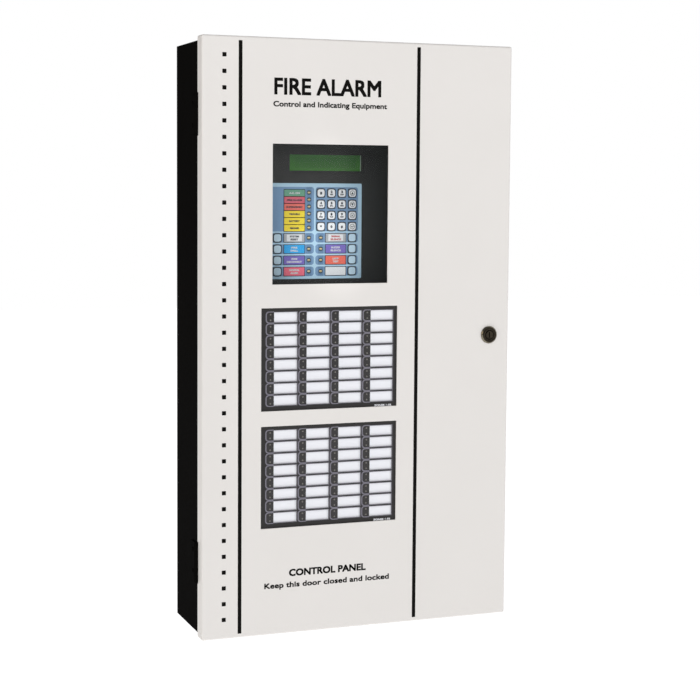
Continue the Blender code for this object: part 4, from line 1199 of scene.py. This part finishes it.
def crystal_glass():
    """Green glass with two faint rows of twenty cells, painted darker towards the top as painted shade."""
    finish = Finish("crystal_glass", (0.07, 0.2, 0.05), 0.25)
    x, _, z = finish.axes()
    middle_x, middle_z = VIEW[0]
    cell_x = abs(((x - middle_x) % 0.0037) - 0.00185)
    cell_z = abs(((z - middle_z) % 0.00595) - 0.002975)
    inside = (abs(x - middle_x) < 0.037) * (abs(z - middle_z) < 0.00595)
    cell = (cell_x < 0.0016) * (cell_z < 0.00278) * inside
    # Painted shade: the green is painted darker towards the top of the glass.
    rise = finish.span(z, middle_z - 0.0093, middle_z + 0.0093, 0.0, 1.0)
    green = finish.mix(rise, (0.052, 0.205, 0.030), (0.034, 0.150, 0.028))
    finish.set("Base Color", finish.mix(cell * 0.25, green, (0.02, 0.08, 0.025)))
    return finish.material


def display_module():
    """The frame, with its front sunk to the glass, the glass, and the pale edge at its right end."""
    frame_piece = block("display_frame", lcd_low, lcd_high)
    pick(frame_piece, "FACE", lambda middle, normal: normal.y < -0.9)
    bpy.ops.mesh.inset(thickness=0.004)
    bpy.ops.object.mode_set(mode="OBJECT")
    carve(frame_piece, plate("cutter", *VIEW, lcd_low.y - 0.002, 0.0028, 0.0004, 2))
    fit(coat(frame_piece, BLACK_PLASTIC), "cabinet", ("lcd_module",))
    size = (VIEW[1][0] - 0.0004, VIEW[1][1] - 0.0004)
    glass = plate("display_glass", VIEW[0], size, lcd_low.y + 0.0005, 0.0002, 0.0004, 2)
    fit(coat(glass, crystal_glass()), "cabinet")
    right = VIEW[0][0] + VIEW[1][0] / 2 - 0.0010
    centre, size = (right, VIEW[0][1]), (0.0008, 0.0178)
    edge = plate("display_glass_edge", centre, size, lcd_low.y + 0.0004, 0.0003, 0.0002, 1)
    fit(coat(edge, moulded("glass_edge", (0.38, 0.47, 0.40), 0.25, 0.0)), "cabinet")


display_module()

# %% [markdown]
# ## The lock
# The cam lock is a turned zinc shell with a chrome head, and a plug that turns inside it. Both start
# as cylinders. Their front faces are inset and pushed to make the chamfer, the recess and the gap,
# and the key slot is cut out. The head's chamfer and the key slot's walls get a paler chrome as a painted
# highlight against the dark face.

# %% Lock shell and plug
lock_low, lock_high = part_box("lock_housing")
plug_low, plug_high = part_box("lock_plug")
LOCK_CENTRE = ((lock_low.x + lock_high.x) / 2, (lock_low.z + lock_high.z) / 2)
HEAD_RADIUS = (lock_high.x - lock_low.x) / 2
BORE_RADIUS = 0.0057


def threaded_zinc():
    """Zinc with the rings of a thread, for the lock's barrel."""
    finish = Finish("threaded_zinc", (0.42, 0.42, 0.43), 0.35, 1.0)
    _, depth, _ = finish.axes()
    wave = abs((depth % 0.001) - 0.0005) * 2000.0
    finish.set("Base Color", finish.mix(wave, (0.50, 0.50, 0.52), (0.24, 0.24, 0.25)))
    finish.relief(wave, 0.8, 0.0003)
    return finish.material


def lock_shell():
    """The head and the threaded barrel, with the bore through both."""
    head = rod("lock_shell", LOCK_CENTRE, HEAD_RADIUS, DOOR_FACE - 0.0010, DOOR_FACE - 0.0002, 48)
    steps(head, [(0.0009, 0.0012), (0.0005, 0.0005), (0.0016, 0.0001), (0.0004, -0.0006)])
    steps(head, [(0.0022, 0.0), (0, lock_high.y - DOOR_FACE)], (0.0, 1.0, 0.0))
    carve(head, rod("bore", LOCK_CENTRE, BORE_RADIUS, lock_low.y - 0.001, lock_high.y + 0.001, 48))
    coat(head, CHROME)

    def reach(middle):
        return math.hypot(middle.x - LOCK_CENTRE[0], middle.z - LOCK_CENTRE[1])

    def chamfer(middle, normal):
        return abs(normal.y) < 0.97 and reach(middle) > 0.0083 and middle.y < DOOR_FACE

    # The chamfer gets the paler chrome as a painted highlight.
    tint(head, CHROME_HIGHLIGHT, chamfer)
    tint(head, threaded_zinc(), lambda middle, normal: middle.y > DOOR_FACE and reach(middle) > 0.0070)
    return fit(head, "door", ("lock_housing",))


def lock_core():
    """The plug, with a raised rim round a key slot."""
    radius = (plug_high.x - plug_low.x) / 2
    plug = rod("lock_core", LOCK_CENTRE, radius, plug_low.y + 0.0008, plug_high.y, 40)
    steps(plug, [(0.0005, 0.0006), (0.0006, 0.0001), (0.0004, -0.0003)])
    x, z = LOCK_CENTRE
    carve(plug, brick("slot", x, z, 0.0006, 0.0033, plug_low.y - 0.001, plug_low.y + 0.009))
    coat(plug, CHROME)

    def slot_walls(middle, normal):
        return abs(middle.x - x) < 0.0007 and abs(normal.x) > 0.9 and middle.y < -0.1

    # The key slot's walls get the paler chrome as a painted highlight.
    tint(plug, CHROME_HIGHLIGHT, slot_walls)
    return fit(plug, "lock", ("lock_plug",))


lock_shell()
lock_core()

# %% [markdown]
# ## The main board
# Behind the door, the main board fills the upper half of the box. Every part on it is its own piece:
# relays, cans, chips, fuses in clips, a finned heat sink, sockets, and rows of tiny parts. The places
# come from the CAD board, which is one block of plain shapes, and the pieces together stand for it.

# %% Finishes for the inside
RELAY = moulded("relay_blue", (0.015, 0.085, 0.30), 0.38)
SLEEVE = moulded("capacitor_sleeve", (0.012, 0.016, 0.045), 0.30)
CAN = plated("aluminium_can", (0.74, 0.74, 0.75), (0.66, 0.66, 0.67), 0.28, 150.0, 0.6)
NYLON = moulded("white_nylon", (0.70, 0.69, 0.64), 0.45, 0.05, 0.94)
FIN = plated("black_anodised", (0.045, 0.045, 0.048), (0.030, 0.030, 0.032), 0.42, 120.0, 0.6)
TUBE_GLASS = Finish("fuse_glass", (0.80, 0.86, 0.86), 0.05, Alpha=0.30).material
TERMINAL = moulded("terminal_green", (0.012, 0.17, 0.065), 0.42)
RED_PLASTIC = moulded("red_plastic", (0.45, 0.012, 0.010), 0.40)
WIRE_RED = moulded("red_wire", (0.50, 0.012, 0.010), 0.38, 0.02)
WIRE_BLACK = moulded("black_wire", (0.010, 0.010, 0.011), 0.40, 0.02)
WIRE_YELLOW = moulded("yellow_wire", (0.70, 0.46, 0.02), 0.40, 0.02)
WIRE_WHITE = moulded("white_wire", (0.72, 0.72, 0.70), 0.40, 0.02)
WIRE_GREEN = moulded("green_wire", (0.02, 0.26, 0.05), 0.40, 0.02)

# %% Parts on the main board
main_low, main_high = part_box("main_board")
BOARD_BACK = main_high.y
BOARD_FACE = BOARD_BACK - BOARD_THICKNESS


def main_piece(name, parts):
    """Joins parts of the main board into a named piece."""
    return fit(join(name, parts), "cabinet", ("main_board",))


def pan_screw(name, centre, radius, base):
    """A pan head screw with a cross slot, whose head rests at the depth base."""
    head = rod(name, centre, radius, base - radius * 0.3, base, 16)
    steps(head, [(radius * 0.22, radius * 0.18), (radius * 0.25, radius * 0.06)])
    top = base - radius * 0.54
    for across, up in ((0.09, 0.55), (0.55, 0.09)):
        depths = (top - radius * 0.3, top + radius * 0.3)
        carve(head, brick("slot", *centre, across * radius, up * radius, *depths))
    return coat(head, STEEL)


def relay():
    """Six blue relays in a column, each on a black foot and with a pale mark."""
    x, z = 0.118, 0.085
    top = BOARD_FACE - 0.0155
    body = brick("relay", x, z, 0.010, 0.0078, top, BOARD_FACE - 0.0006)
    round_edges(body, 0.0008, 2)
    steps(body, [(0.0016, 0.0), (0.0003, -0.0003)])
    base = plate("base", (x, z), (0.0205, 0.0160), BOARD_FACE - 0.0016, 0.0016, 0.0004, 1)
    mark = plate("mark", (x, z + 0.0016), (0.0120, 0.0032), top + 0.0003 - FILM, FILM, 0.0003, 1)
    parts = [coat(body, RELAY), coat(base, BLACK_PLASTIC), coat(mark, PALE_INK)]
    return copies(join("relays", parts), [(0.0, 0.0, 0.020 * k) for k in range(6)])


def capacitor():
    """Three large capacitors, with a bare scored top over a dark sleeve."""
    centre = (0.082, 0.095)
    top = BOARD_FACE - 0.024
    can = rod("capacitors", centre, 0.0095, top + 0.0012, BOARD_FACE, 28)
    steps(can, [(0.0008, 0.0009), (0.0008, 0.0002), (0.0006, -0.0004)])
    steps(can, [(0.0006, 0.0006)], (0.0, 1.0, 0.0))
    for across, up in ((0.0002, 0.006), (0.006, 0.0002)):
        carve(can, brick("score", *centre, across, up, top - 0.001, top + 0.0007))
    coat(can, SLEEVE)
    x, z = centre
    tint(can, CAN, lambda middle, normal: math.hypot(middle.x - x, middle.z - z) < 0.0080)
    return copies(can, [(0.0, 0.0, 0.026 * k) for k in range(3)])


def fuse():
    """Three glass fuses, each in two spring clips."""
    x, y, z = -0.120, BOARD_FACE - 0.0050, 0.248
    ends = ((x - 0.0075, y, z), (x + 0.0075, y, z))
    parts = [coat(bar("glass", *ends, 0.0024, 14), TUBE_GLASS), coat(bar("link", *ends, 0.0002, 6), TIN)]
    for side in (-1, 1):
        cap = bar("cap", (x + side * 0.0045, y, z), (x + side * 0.0098, y, z), 0.0026, 14)
        steps(cap, [(0.0003, 0.0002)], (side, 0, 0))
        clip = brick("clip", x + side * 0.0072, z, 0.0022, 0.0034, BOARD_FACE - 0.0068, BOARD_FACE)
        steps(clip, [(0.0005, 0.0), (0, -0.0055)])
        parts += [coat(cap, CAN), coat(clip, BRASS)]
    return copies(join("fuses", parts), [(0.026 * k, 0.0, 0.0) for k in range(3)])


def heat_sink():
    """A comb of fins, drawn out of a base plate by extruding every other strip."""
    left, right, low, high, fins = 0.066, 0.104, 0.190, 0.245, 7
    base = block("heat_sink", (left, BOARD_FACE - 0.004, low), (right, BOARD_FACE, high))
    pitch = (right - left) / (fins - 0.5)
    activate(base)
    bpy.ops.object.mode_set(mode="EDIT")
    for k in range(1, 2 * fins - 1):
        bpy.ops.mesh.select_all(action="SELECT")
        bpy.ops.mesh.bisect(plane_co=(left + k * pitch / 2, 0, 0), plane_no=(1, 0, 0))
    bpy.ops.object.mode_set(mode="OBJECT")

    def even_strips(middle, normal):
        return normal.y < -0.9 and int((middle.x - left) / (pitch / 2)) % 2 == 0

    pick(base, "FACE", even_strips)
    bpy.ops.mesh.extrude_region_move(TRANSFORM_OT_translate={"value": (0, -0.016, 0)})
    bpy.ops.object.mode_set(mode="OBJECT")
    return coat(base, FIN)


def indicator_row():
    """Small status lights in a row, with amber domes."""
    lamp = rod("status_lights", (-0.120, 0.225), 0.0015, BOARD_FACE - 0.0020, BOARD_FACE, 12)
    steps(lamp, [(0.0003, 0.0005), (0.0004, 0.0003), (0.0004, 0.0001)])
    return coat(copies(lamp, [(0.008 * k, 0.0, 0.0) for k in range(8)]), AMBER)


def axial_rows():
    """Resistors with wire legs, in rows."""
    x, y, z = -0.125, BOARD_FACE - 0.0015, 0.185
    body = bar("body", (x, y, z - 0.0032), (x, y, z + 0.0032), 0.0012, 10)
    round_edges(body, 0.0004, 1)
    legs = bar("legs", (x, y, z - 0.0060), (x, y, z + 0.0060), 0.0003, 6)
    unit = join("resistors", [coat(body, WIRE_WHITE), coat(legs, TIN)])
    spots = [(0.0052 * k, 0.0, -0.018 * row) for row in range(3) for k in range(10)]
    return copies(unit, spots)


MAIN_CHIPS = (
    ((-0.045, 0.135), (0.029, 0.028), 0.003, 20),
    ((-0.003, 0.1325), (0.029, 0.013), 0.003, 14),
    ((0.030, 0.205), (0.020, 0.0075), 0.0032, 10),
    ((0.030, 0.225), (0.020, 0.0075), 0.0032, 10),
)
SOCKET_TOP = BOARD_FACE - 0.009

board_corner = (main_low.x, BOARD_FACE, main_low.z)
board = board_slab("main_circuit_board", board_corner, (main_high.x, BOARD_BACK, main_high.z))
main_piece("main_circuit_board", [board])
for name, make in (("relays", relay), ("capacitors", capacitor), ("fuses", fuse), ("heat_sink", heat_sink)):
    main_piece(name, [make()])
parts = []
for centre, size, height, legs in MAIN_CHIPS:
    parts += chip("chip", centre, size, BOARD_FACE, BOARD_FACE - height, legs)
main_piece("main_chips", parts)
main_piece("display_socket", socket_shell("socket", (-0.036, 0.059), (0.048, 0.008), BOARD_FACE, SOCKET_TOP))
harness_socket = socket_shell("socket", (-0.142, 0.085), (0.008, 0.030), BOARD_FACE, SOCKET_TOP, 0.0039)
harness_socket[0].data.materials[0] = NYLON
main_piece("harness_socket", harness_socket)
main_piece("status_lights", [indicator_row()])
main_piece("resistors", [axial_rows()])
SMALL_ROWS = (0.105, 0.165, 0.178, 0.245, 0.262)
main_piece("small_parts", small_parts(-0.060, 0.055, SMALL_ROWS, BOARD_FACE, 0.0068, -1.0))
screws = copies(pan_screw("board_screws", (-0.143, 0.055), 0.0032, BOARD_FACE),
                [(0.143 * k, 0.0, 0.228 * row) for k in range(3) for row in range(2)])
main_piece("board_screws", [screws])

# %% [markdown]
# ## Screw terminals
# Two strips of screw terminals take the field wiring. One way is modelled: a housing with a square
# wire mouth on its outer side and a brass screw down a well, and it is copied along each strip.

# %% Terminal strips
WAY = 0.0115


def terminal_way(x, z, mouth, face):
    """One way about the centre (x, z), with its wire mouth towards mouth, either down or right."""
    half = WAY / 2 - 0.0001
    depth = 0.014
    body = brick("way", x, z, half, 0.006, face - depth, face)
    round_edges(body, 0.0004, 1, lambda middle, along: middle.y < face - depth / 2)
    steps(body, [(0.0017, 0.0), (0, -0.0045), (0.0002, 0.0)])
    steps(body, [(0.0026, 0.0), (0, -0.0040)], (0.0, 0.0, -1.0))
    coat(body, TERMINAL)
    screw = rod("screw", (x, z), 0.0028, face - depth + 0.0022, face - depth + 0.0044, 16)
    steps(screw, [(0.0004, 0.0003)])
    carve(screw, brick("slot", x, z, 0.0026, 0.0004, face - depth + 0.0015, face - depth + 0.0028))
    unit = join("way", [body, coat(screw, BRASS)])
    if mouth == "right":
        centre = Matrix.Translation((x, 0, z))
        unit.data.transform(centre @ Matrix.Rotation(-math.pi / 2, 4, "Y") @ centre.inverted())
    return unit


def terminal_strip(place, first, length, mouth, face, step):
    """As many ways as the strip is long, from the first one's centre (x, z), each a step further."""
    way = terminal_way(*first, mouth, face)
    spots = [tuple(k * part for part in step) for k in range(round(length / WAY))]
    strip = join(f"{place}_terminals", [copies(way, spots)])
    fit(strip, "cabinet", (f"terminal_strip_{place}",))


low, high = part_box("terminal_strip_bottom")
first = (low.x + WAY / 2, (low.z + high.z) / 2)
terminal_strip("bottom", first, high.x - low.x, "down", high.y, (WAY, 0.0, 0.0))
low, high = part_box("terminal_strip_side")
first = ((low.x + high.x) / 2, low.z + WAY / 2)
terminal_strip("side", first, high.z - low.z, "right", high.y, (0.0, 0.0, WAY))

# %% [markdown]
# ## The mains side
# Low in the box sit the transformer, a fused mains block and two sealed batteries. The transformer's
# core is a stack of thin steel plates, which show as fine lines. Its coil is wound on a nylon bobbin
# under amber tape.

# %% Transformer
trans_low, trans_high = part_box("transformer")


def striped(name, colour, gap, pitch, share, axis, metallic=0.0, roughness=0.5, strength=0.5):
    """A finish with fine lines across one axis, as on a stack of plates or a wound tape."""
    finish = Finish(name, colour, roughness, metallic)
    place = finish.axes()[axis] + finish.noise(40.0, 1.0) * pitch * 0.3
    line = (place % pitch) < pitch * share
    ground = finish.mix(finish.noise(90.0), colour, [0.7 * part for part in colour])
    finish.set("Base Color", finish.mix(line, ground, gap))
    finish.relief(1.0 - line, strength, 0.0002)
    return finish.material


CORE = striped("core_plates", (0.20, 0.195, 0.19), (0.035, 0.032, 0.03), 0.0009, 0.35, 2, 0.8, 0.45)
TAPE = striped("amber_tape", (0.62, 0.36, 0.04), (0.42, 0.22, 0.02), 0.006, 0.06, 2, 0.0, 0.25, 0.2)


def core_piece(obj):
    """Hangs a piece of the transformer on the box."""
    return fit(obj, "cabinet", ("transformer",))


def transformer():
    """The plate core, the taped coil on its bobbin, and the strap that holds it down."""
    middle = (trans_low + trans_high) / 2
    x, z, back = middle.x, middle.z, trans_high.y
    core = brick("transformer_core", x, z, 0.036, 0.016, back - 0.044, back - 0.0041)
    core_piece(coat(round_edges(core, 0.0006, 1), CORE))
    outline = ((x - 0.022, -0.0513, trans_low.z + 0.0015), (x + 0.022, -0.0253, trans_high.z - 0.0015))
    coil = block("transformer_coil", *outline)
    core_piece(coat(round_edges(coil, 0.0075, 4, upright_z), TAPE))
    parts = []
    for side in (-1, 1):
        for gap in (0.0163, 0.0275):
            flange = brick("flange", x, z + side * gap, 0.0235, 0.0006, -0.0530, -0.0240)
            parts.append(coat(round_edges(flange, 0.004, 3, upright_z), NYLON))
    core_piece(join("transformer_bobbin", parts))
    parts = []
    for side in (-1, 1):
        foot_low = (x + side * 0.044, back - 0.0012, z - 0.015)
        foot = block("foot", foot_low, (x + side * 0.0355, back, z + 0.015))
        wall_low = (x + side * 0.0373, back - 0.0445, z - 0.012)
        wall = block("wall", wall_low, (x + side * 0.0361, back, z + 0.012))
        round_edges(wall, 0.0005, 1)
        parts += [coat(foot, ZINC), coat(wall, ZINC)]
        for end in (-1, 1):
            spot = (x + side * 0.0408, z + end * 0.009)
            parts.append(pan_screw("screw", spot, 0.0022, back - 0.0012))
    strap = brick("strap", x, z, 0.0373, 0.012, back - 0.0452, back - 0.0441)
    parts.append(coat(round_edges(strap, 0.0005, 1), ZINC))
    core_piece(join("transformer_strap", parts))


transformer()

# %% Mains block
mains_low, mains_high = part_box("mains_terminal_block")
MAINS_MIDDLE = (mains_low.z + mains_high.z) / 2
FUSE_CAP_X = 0.1355


def mains_piece(obj):
    """Hangs a piece of the mains block on the box."""
    return fit(obj, "cabinet", ("mains_terminal_block",))


def mains_block():
    """A black block with grooves between its ways, a screw down each well, and a fuse cap."""
    face = mains_high.y - 0.018
    body = block("mains_block", (mains_low.x, face, mains_low.z), mains_high)
    round_edges(body, 0.0008, 2)
    for k in range(4):
        x = 0.092 + 0.012 * k
        groove_low = (x - 0.0006, face - 0.001, mains_low.z - 0.001)
        carve(body, block("groove", groove_low, (x + 0.0006, face + 0.005, mains_high.z + 0.001)))
    coat(body, BLACK_PLASTIC)
    parts = []
    for k in range(3):
        x = 0.098 + 0.012 * k
        carve(body, rod("well", (x, MAINS_MIDDLE), 0.0036, face - 0.001, face + 0.007, 16))
        parts.append(pan_screw("screw", (x, MAINS_MIDDLE), 0.0030, face + 0.0069))
    mains_piece(join("mains_block", [body]))
    mains_piece(join("mains_screws", parts))
    cap = rod("fuse_cap", (FUSE_CAP_X, MAINS_MIDDLE), 0.0055, mains_low.y + 0.0008, face + 0.001, 24)
    steps(cap, [(0.0008, 0.0008), (0.0012, 0.0), (0.0003, -0.0006)])
    depths = (mains_low.y - 0.001, mains_low.y + 0.0018)
    slot = brick("slot", FUSE_CAP_X, MAINS_MIDDLE, 0.0035, 0.0005, *depths)
    mains_piece(coat(carve(cap, slot), BLACK_PLASTIC))


mains_block()

# %% [markdown]
# ## Batteries
# Each battery is a moulded case with a glued lid, whose seam shows as a groove. The two tabs stand on
# small pads, red for plus and black for minus.

# %% Both batteries
CASE = moulded("battery_case", (0.060, 0.062, 0.068), 0.50, 0.15)
BATTERY_WORDS = (
    ("12 V", 0.014, 0.045, 0.011, 0.01),
    ("RECHARGEABLE BATTERY", 0.032, 0.031, 0.0042, 0.0),
)


def battery(side):
    """The case, the lid, the two tabs on their pads, and the label of one battery."""
    node = f"battery_{side}"
    low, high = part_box(node)
    lid_top, tab_top = high.z - 0.0065, high.z
    seam = lid_top - 0.016
    case = block(f"battery_case_{side}", low, (high.x, high.y, seam))
    round_edges(case, 0.003, 3, lambda middle, along: middle.z < seam - 0.001)
    steps(case, [(0.0008, 0.0), (0, 0.0012)], (0.0, 0.0, 1.0))
    fit(coat(case, CASE), "cabinet", (node,))
    lid = block(f"battery_lid_{side}", (low.x, low.y, seam + 0.0010), (high.x, high.y, lid_top - 0.0012))
    round_edges(lid, 0.003, 3, upright_z)
    steps(lid, [(0.0010, 0.0012), (0.0014, 0.0), (0.0004, -0.0006)], (0.0, 0.0, 1.0))
    fit(coat(lid, CASE), "cabinet", (node,))
    parts = []
    middle = (low.x + high.x) / 2
    for end, colour in ((-1, BLACK_PLASTIC), (1, RED_PLASTIC)):
        x = middle + end * 0.0635
        pad = block("pad", (x - 0.006, -0.0305, lid_top - 0.001), (x + 0.006, -0.0205, lid_top + 0.0014))
        round_edges(pad, 0.0009, 2, upright_z)
        tab = block("tab", (x - 0.0024, -0.0258, lid_top), (x + 0.0024, -0.0250, tab_top))
        round_edges(tab, 0.0008, 2, lambda middle, along: abs(along.y) > 0.9 and middle.z > lid_top + 0.001)
        parts += [coat(pad, colour), coat(tab, TIN)]
    fit(join(f"battery_tabs_{side}", parts), "cabinet", (node,))
    face = low.y - FILM
    parts = [coat(plate("slip", (middle, low.z + 0.044), (0.080, 0.045), face, FILM, 0.003, 3), NYLON)]
    for words, half, lift, height, weight in BATTERY_WORDS:
        text = lettering("words", words, middle - half, middle + half, low.z + lift, height, face, weight)
        parts.append(coat(text, INK))
    fit(join(f"battery_label_{side}", parts), "cabinet")


for side in ("left", "right"):
    battery(side)

# %% [markdown]
# ## Cables
# A wire is a curve through a few points, thickened and turned into a mesh. The ribbons keep their CAD
# shape: their ridges are fine enough to be drawn by the finish alone, with painted shade in the grooves
# between them and one red edge.

# %% Ribbons
RIDGE = 0.00127


def ribbon_finish(name, edge_x):
    """Grey ridges side by side from edge_x, the first of them red, each paler on its crest with painted shade
    in the grooves.
    """
    finish = Finish(name, (0.36, 0.37, 0.39), 0.42)
    x, _, _ = finish.axes()
    ridge = abs(((x - edge_x) % RIDGE) - RIDGE / 2) * (2 / RIDGE)
    # Painted shade: the grey is lighter on each crest and darker in the grooves between.
    grey = finish.mix(ridge, (0.42, 0.43, 0.45), (0.24, 0.245, 0.26))
    red = (x - edge_x) < RIDGE
    finish.set("Base Color", finish.mix(red, grey, (0.45, 0.02, 0.02)))
    finish.relief(1.0 - ridge, 0.8, 0.0004)
    return finish.material


for node in ("display_ribbon", "annunciator_link_ribbon"):
    coat(nodes[node], ribbon_finish(f"{node}_grey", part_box(node)[0].x))


# %% Wires
def smooth_route(points):
    """Points on a smooth curve through the given ones, eight to each stretch."""
    points = [Vector(point) for point in points]
    padded = [2 * points[0] - points[1], *points, 2 * points[-1] - points[-2]]
    route = []
    for a, b, c, d in zip(padded, padded[1:], padded[2:], padded[3:]):
        for t in np.arange(8) / 8:
            route.append(0.5 * (2 * b + (c - a) * t + (2 * a - 5 * b + 4 * c - d) * t**2
                                + (3 * b - a - 3 * c + d) * t**3))
    return [*route, points[-1]]


def wire(name, route, radius, material):
    """A round wire along a route."""
    deselect()
    bpy.ops.curve.primitive_nurbs_path_add()
    path = bpy.context.object
    path.data.splines.clear()
    line = path.data.splines.new("POLY")
    line.points.add(len(route) - 1)
    for point, place in zip(line.points, route):
        point.co = (*place, 1.0)
    path.data.bevel_depth = radius
    path.data.bevel_resolution = 1
    path.data.use_fill_caps = True
    path.name = name
    bpy.ops.object.convert(target="MESH")
    return coat(bpy.context.object, material)


def strands(name, points, bundle, radius, colours, twists):
    """Wires twisted round a common route."""
    route = smooth_route(points)
    lengths = np.cumsum([0.0] + [(b - a).length for a, b in zip(route, route[1:])])
    parts = []
    for k, colour in enumerate(colours):
        offset_route = []
        for i, place in enumerate(route):
            along = (route[min(i + 1, len(route) - 1)] - route[max(i - 1, 0)]).normalized()
            side = along.orthogonal() if i == 0 else side - along * side.dot(along)
            side.normalize()
            angle = 2 * math.pi * (k / len(colours) + twists * lengths[i] / lengths[-1])
            turned = side * math.cos(angle) + along.cross(side) * math.sin(angle)
            offset_route.append(place + turned * bundle)
        parts.append(wire("strand", offset_route, radius, colour))
    return join(name, parts)


# %% [markdown]
# ## The door harness
# Four wires run from the main board, along the hinge side of the box, and over to the annunciators on
# the door. The stretch beside the hinge is straight.

# %% Harness across the hinge
HARNESS_X, HARNESS_Y = -0.157, -0.0885
HARNESS = (
    (-0.1464, -0.0264, 0.085), (-0.1510, -0.0268, 0.085), (-0.155, -0.036, 0.084), (-0.156, -0.058, 0.076),
    (HARNESS_X, -0.078, 0.060), (HARNESS_X, HARNESS_Y, 0.036), (HARNESS_X, HARNESS_Y, 0.016),
    (HARNESS_X, HARNESS_Y, -0.004), (HARNESS_X, HARNESS_Y, -0.024), (HARNESS_X, HARNESS_Y, -0.050),
    (-0.154, -0.0888, -0.063), (-0.146, -0.0905, -0.066), (-0.135, -0.0930, -0.050),
    (-0.121, -0.0960, -0.0265), (-0.1072, -0.0964, -0.0222),
)
HARNESS_COLOURS = (WIRE_RED, WIRE_BLACK, WIRE_YELLOW, WIRE_WHITE)
harness = strands("door_harness", HARNESS, 0.00105, 0.00088, HARNESS_COLOURS, 7)
activate(harness)
bpy.ops.object.shade_smooth_by_angle(angle=math.radians(50))
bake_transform(harness)
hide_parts("door_harness_box_end", "door_harness_door_end")

# %% Battery and mains wires
BATTERY_PAIR = (
    (0.034, -0.0325, -0.2020), (0.058, -0.034, -0.186), (0.074, -0.030, -0.140),
    (0.078, -0.026, -0.060), (0.084, -0.028, 0.0), (0.093, -0.031, 0.018),
)
TAILS = (
    (WIRE_RED, (0.035, -0.0325, -0.2015), (0.060, -0.036, -0.2105), (0.120, -0.034, -0.2110),
     (0.1448, -0.0260, -0.2190)),
    (WIRE_BLACK, (0.035, -0.0325, -0.2020), (-0.020, -0.038, -0.2080), (-0.110, -0.036, -0.2105),
     (-0.1448, -0.0260, -0.2190)),
    (WIRE_RED, (0.0925, -0.031, 0.0172), (0.0915, -0.0300, 0.026), (0.09225, -0.0293, 0.0362)),
    (WIRE_BLACK, (0.0928, -0.031, 0.0172), (0.1005, -0.0300, 0.025), (0.10375, -0.0293, 0.0362)),
)
SLEEVES = (
    ((0.0335, -0.0325, -0.2023), (0.0405, -0.0331, -0.1985)),
    ((0.0905, -0.0302, 0.0125), (0.0934, -0.0311, 0.0190)),
)
SPADES = (
    (-0.1455, BLACK_PLASTIC), (-0.0185, RED_PLASTIC), (0.0185, BLACK_PLASTIC), (0.1455, RED_PLASTIC),
)
THIN, MAINS, HEAVY = 0.00078, 0.0011, 0.0013
parts = [strands("pair", BATTERY_PAIR, 0.0008, THIN, (WIRE_RED, WIRE_BLACK), 5)]
parts += [wire("tail", smooth_route(route), THIN, colour) for colour, *route in TAILS]
for start, end in SLEEVES:
    parts.append(coat(round_edges(bar("sleeve", start, end, 0.0019, 14), 0.0004, 1), BLACK_PLASTIC))
for x, colour in SPADES:
    spade = block("spade", (x - 0.0032, -0.0268, -0.2272), (x + 0.0032, -0.0240, -0.2195))
    parts.append(coat(round_edges(spade, 0.0008, 2), colour))
fit(join("battery_wires", parts), "cabinet", ("battery_lead",))

MAINS_WIRES = (
    (WIRE_BLACK, HEAVY, (-0.0185, -0.0254, -0.2205), (-0.012, -0.030, -0.212), (0.0, -0.031, -0.2095),
     (0.012, -0.030, -0.212), (0.0185, -0.0254, -0.2205)),
    (WIRE_BLACK, MAINS, (0.098, -0.030, -0.169), (0.096, -0.030, -0.150), (0.070, -0.022, -0.108),
     (0.0, -0.018, -0.102), (-0.070, -0.024, -0.105), (-0.096, -0.036, -0.1165), (-0.098, -0.038, -0.1205)),
    (WIRE_WHITE, MAINS, (0.110, -0.030, -0.169), (0.107, -0.030, -0.148), (0.073, -0.024, -0.104),
     (0.0, -0.020, -0.099), (-0.072, -0.026, -0.101), (-0.104, -0.038, -0.1150), (-0.106, -0.040, -0.1205)),
    (WIRE_GREEN, MAINS, (0.122, -0.030, -0.169), (0.122, -0.030, -0.150), (0.126, -0.022, -0.128),
     (0.128, -0.0175, -0.118)),
    (WIRE_YELLOW, MAINS, (-0.114, -0.040, -0.1205), (-0.116, -0.038, -0.112), (-0.126, -0.024, -0.060),
     (-0.128, -0.022, 0.0), (-0.1263, -0.030, 0.022), (-0.1263, -0.0325, 0.0345)),
    (WIRE_YELLOW, MAINS, (-0.120, -0.038, -0.1205), (-0.122, -0.036, -0.110), (-0.130, -0.022, -0.060),
     (-0.132, -0.020, 0.0), (-0.1150, -0.030, 0.020), (-0.1148, -0.0325, 0.0345)),
)
mains_wires = [wire("mains", smooth_route(route), radius, colour) for colour, radius, *route in MAINS_WIRES]
fit(join("mains_wires", mains_wires), "cabinet")
lug = steps(rod("earth_stud", (0.128, -0.118), 0.0035, -0.0185, -0.0142, 6), [(0.0008, 0.0004)])
fit(coat(lug, BRASS), "cabinet")
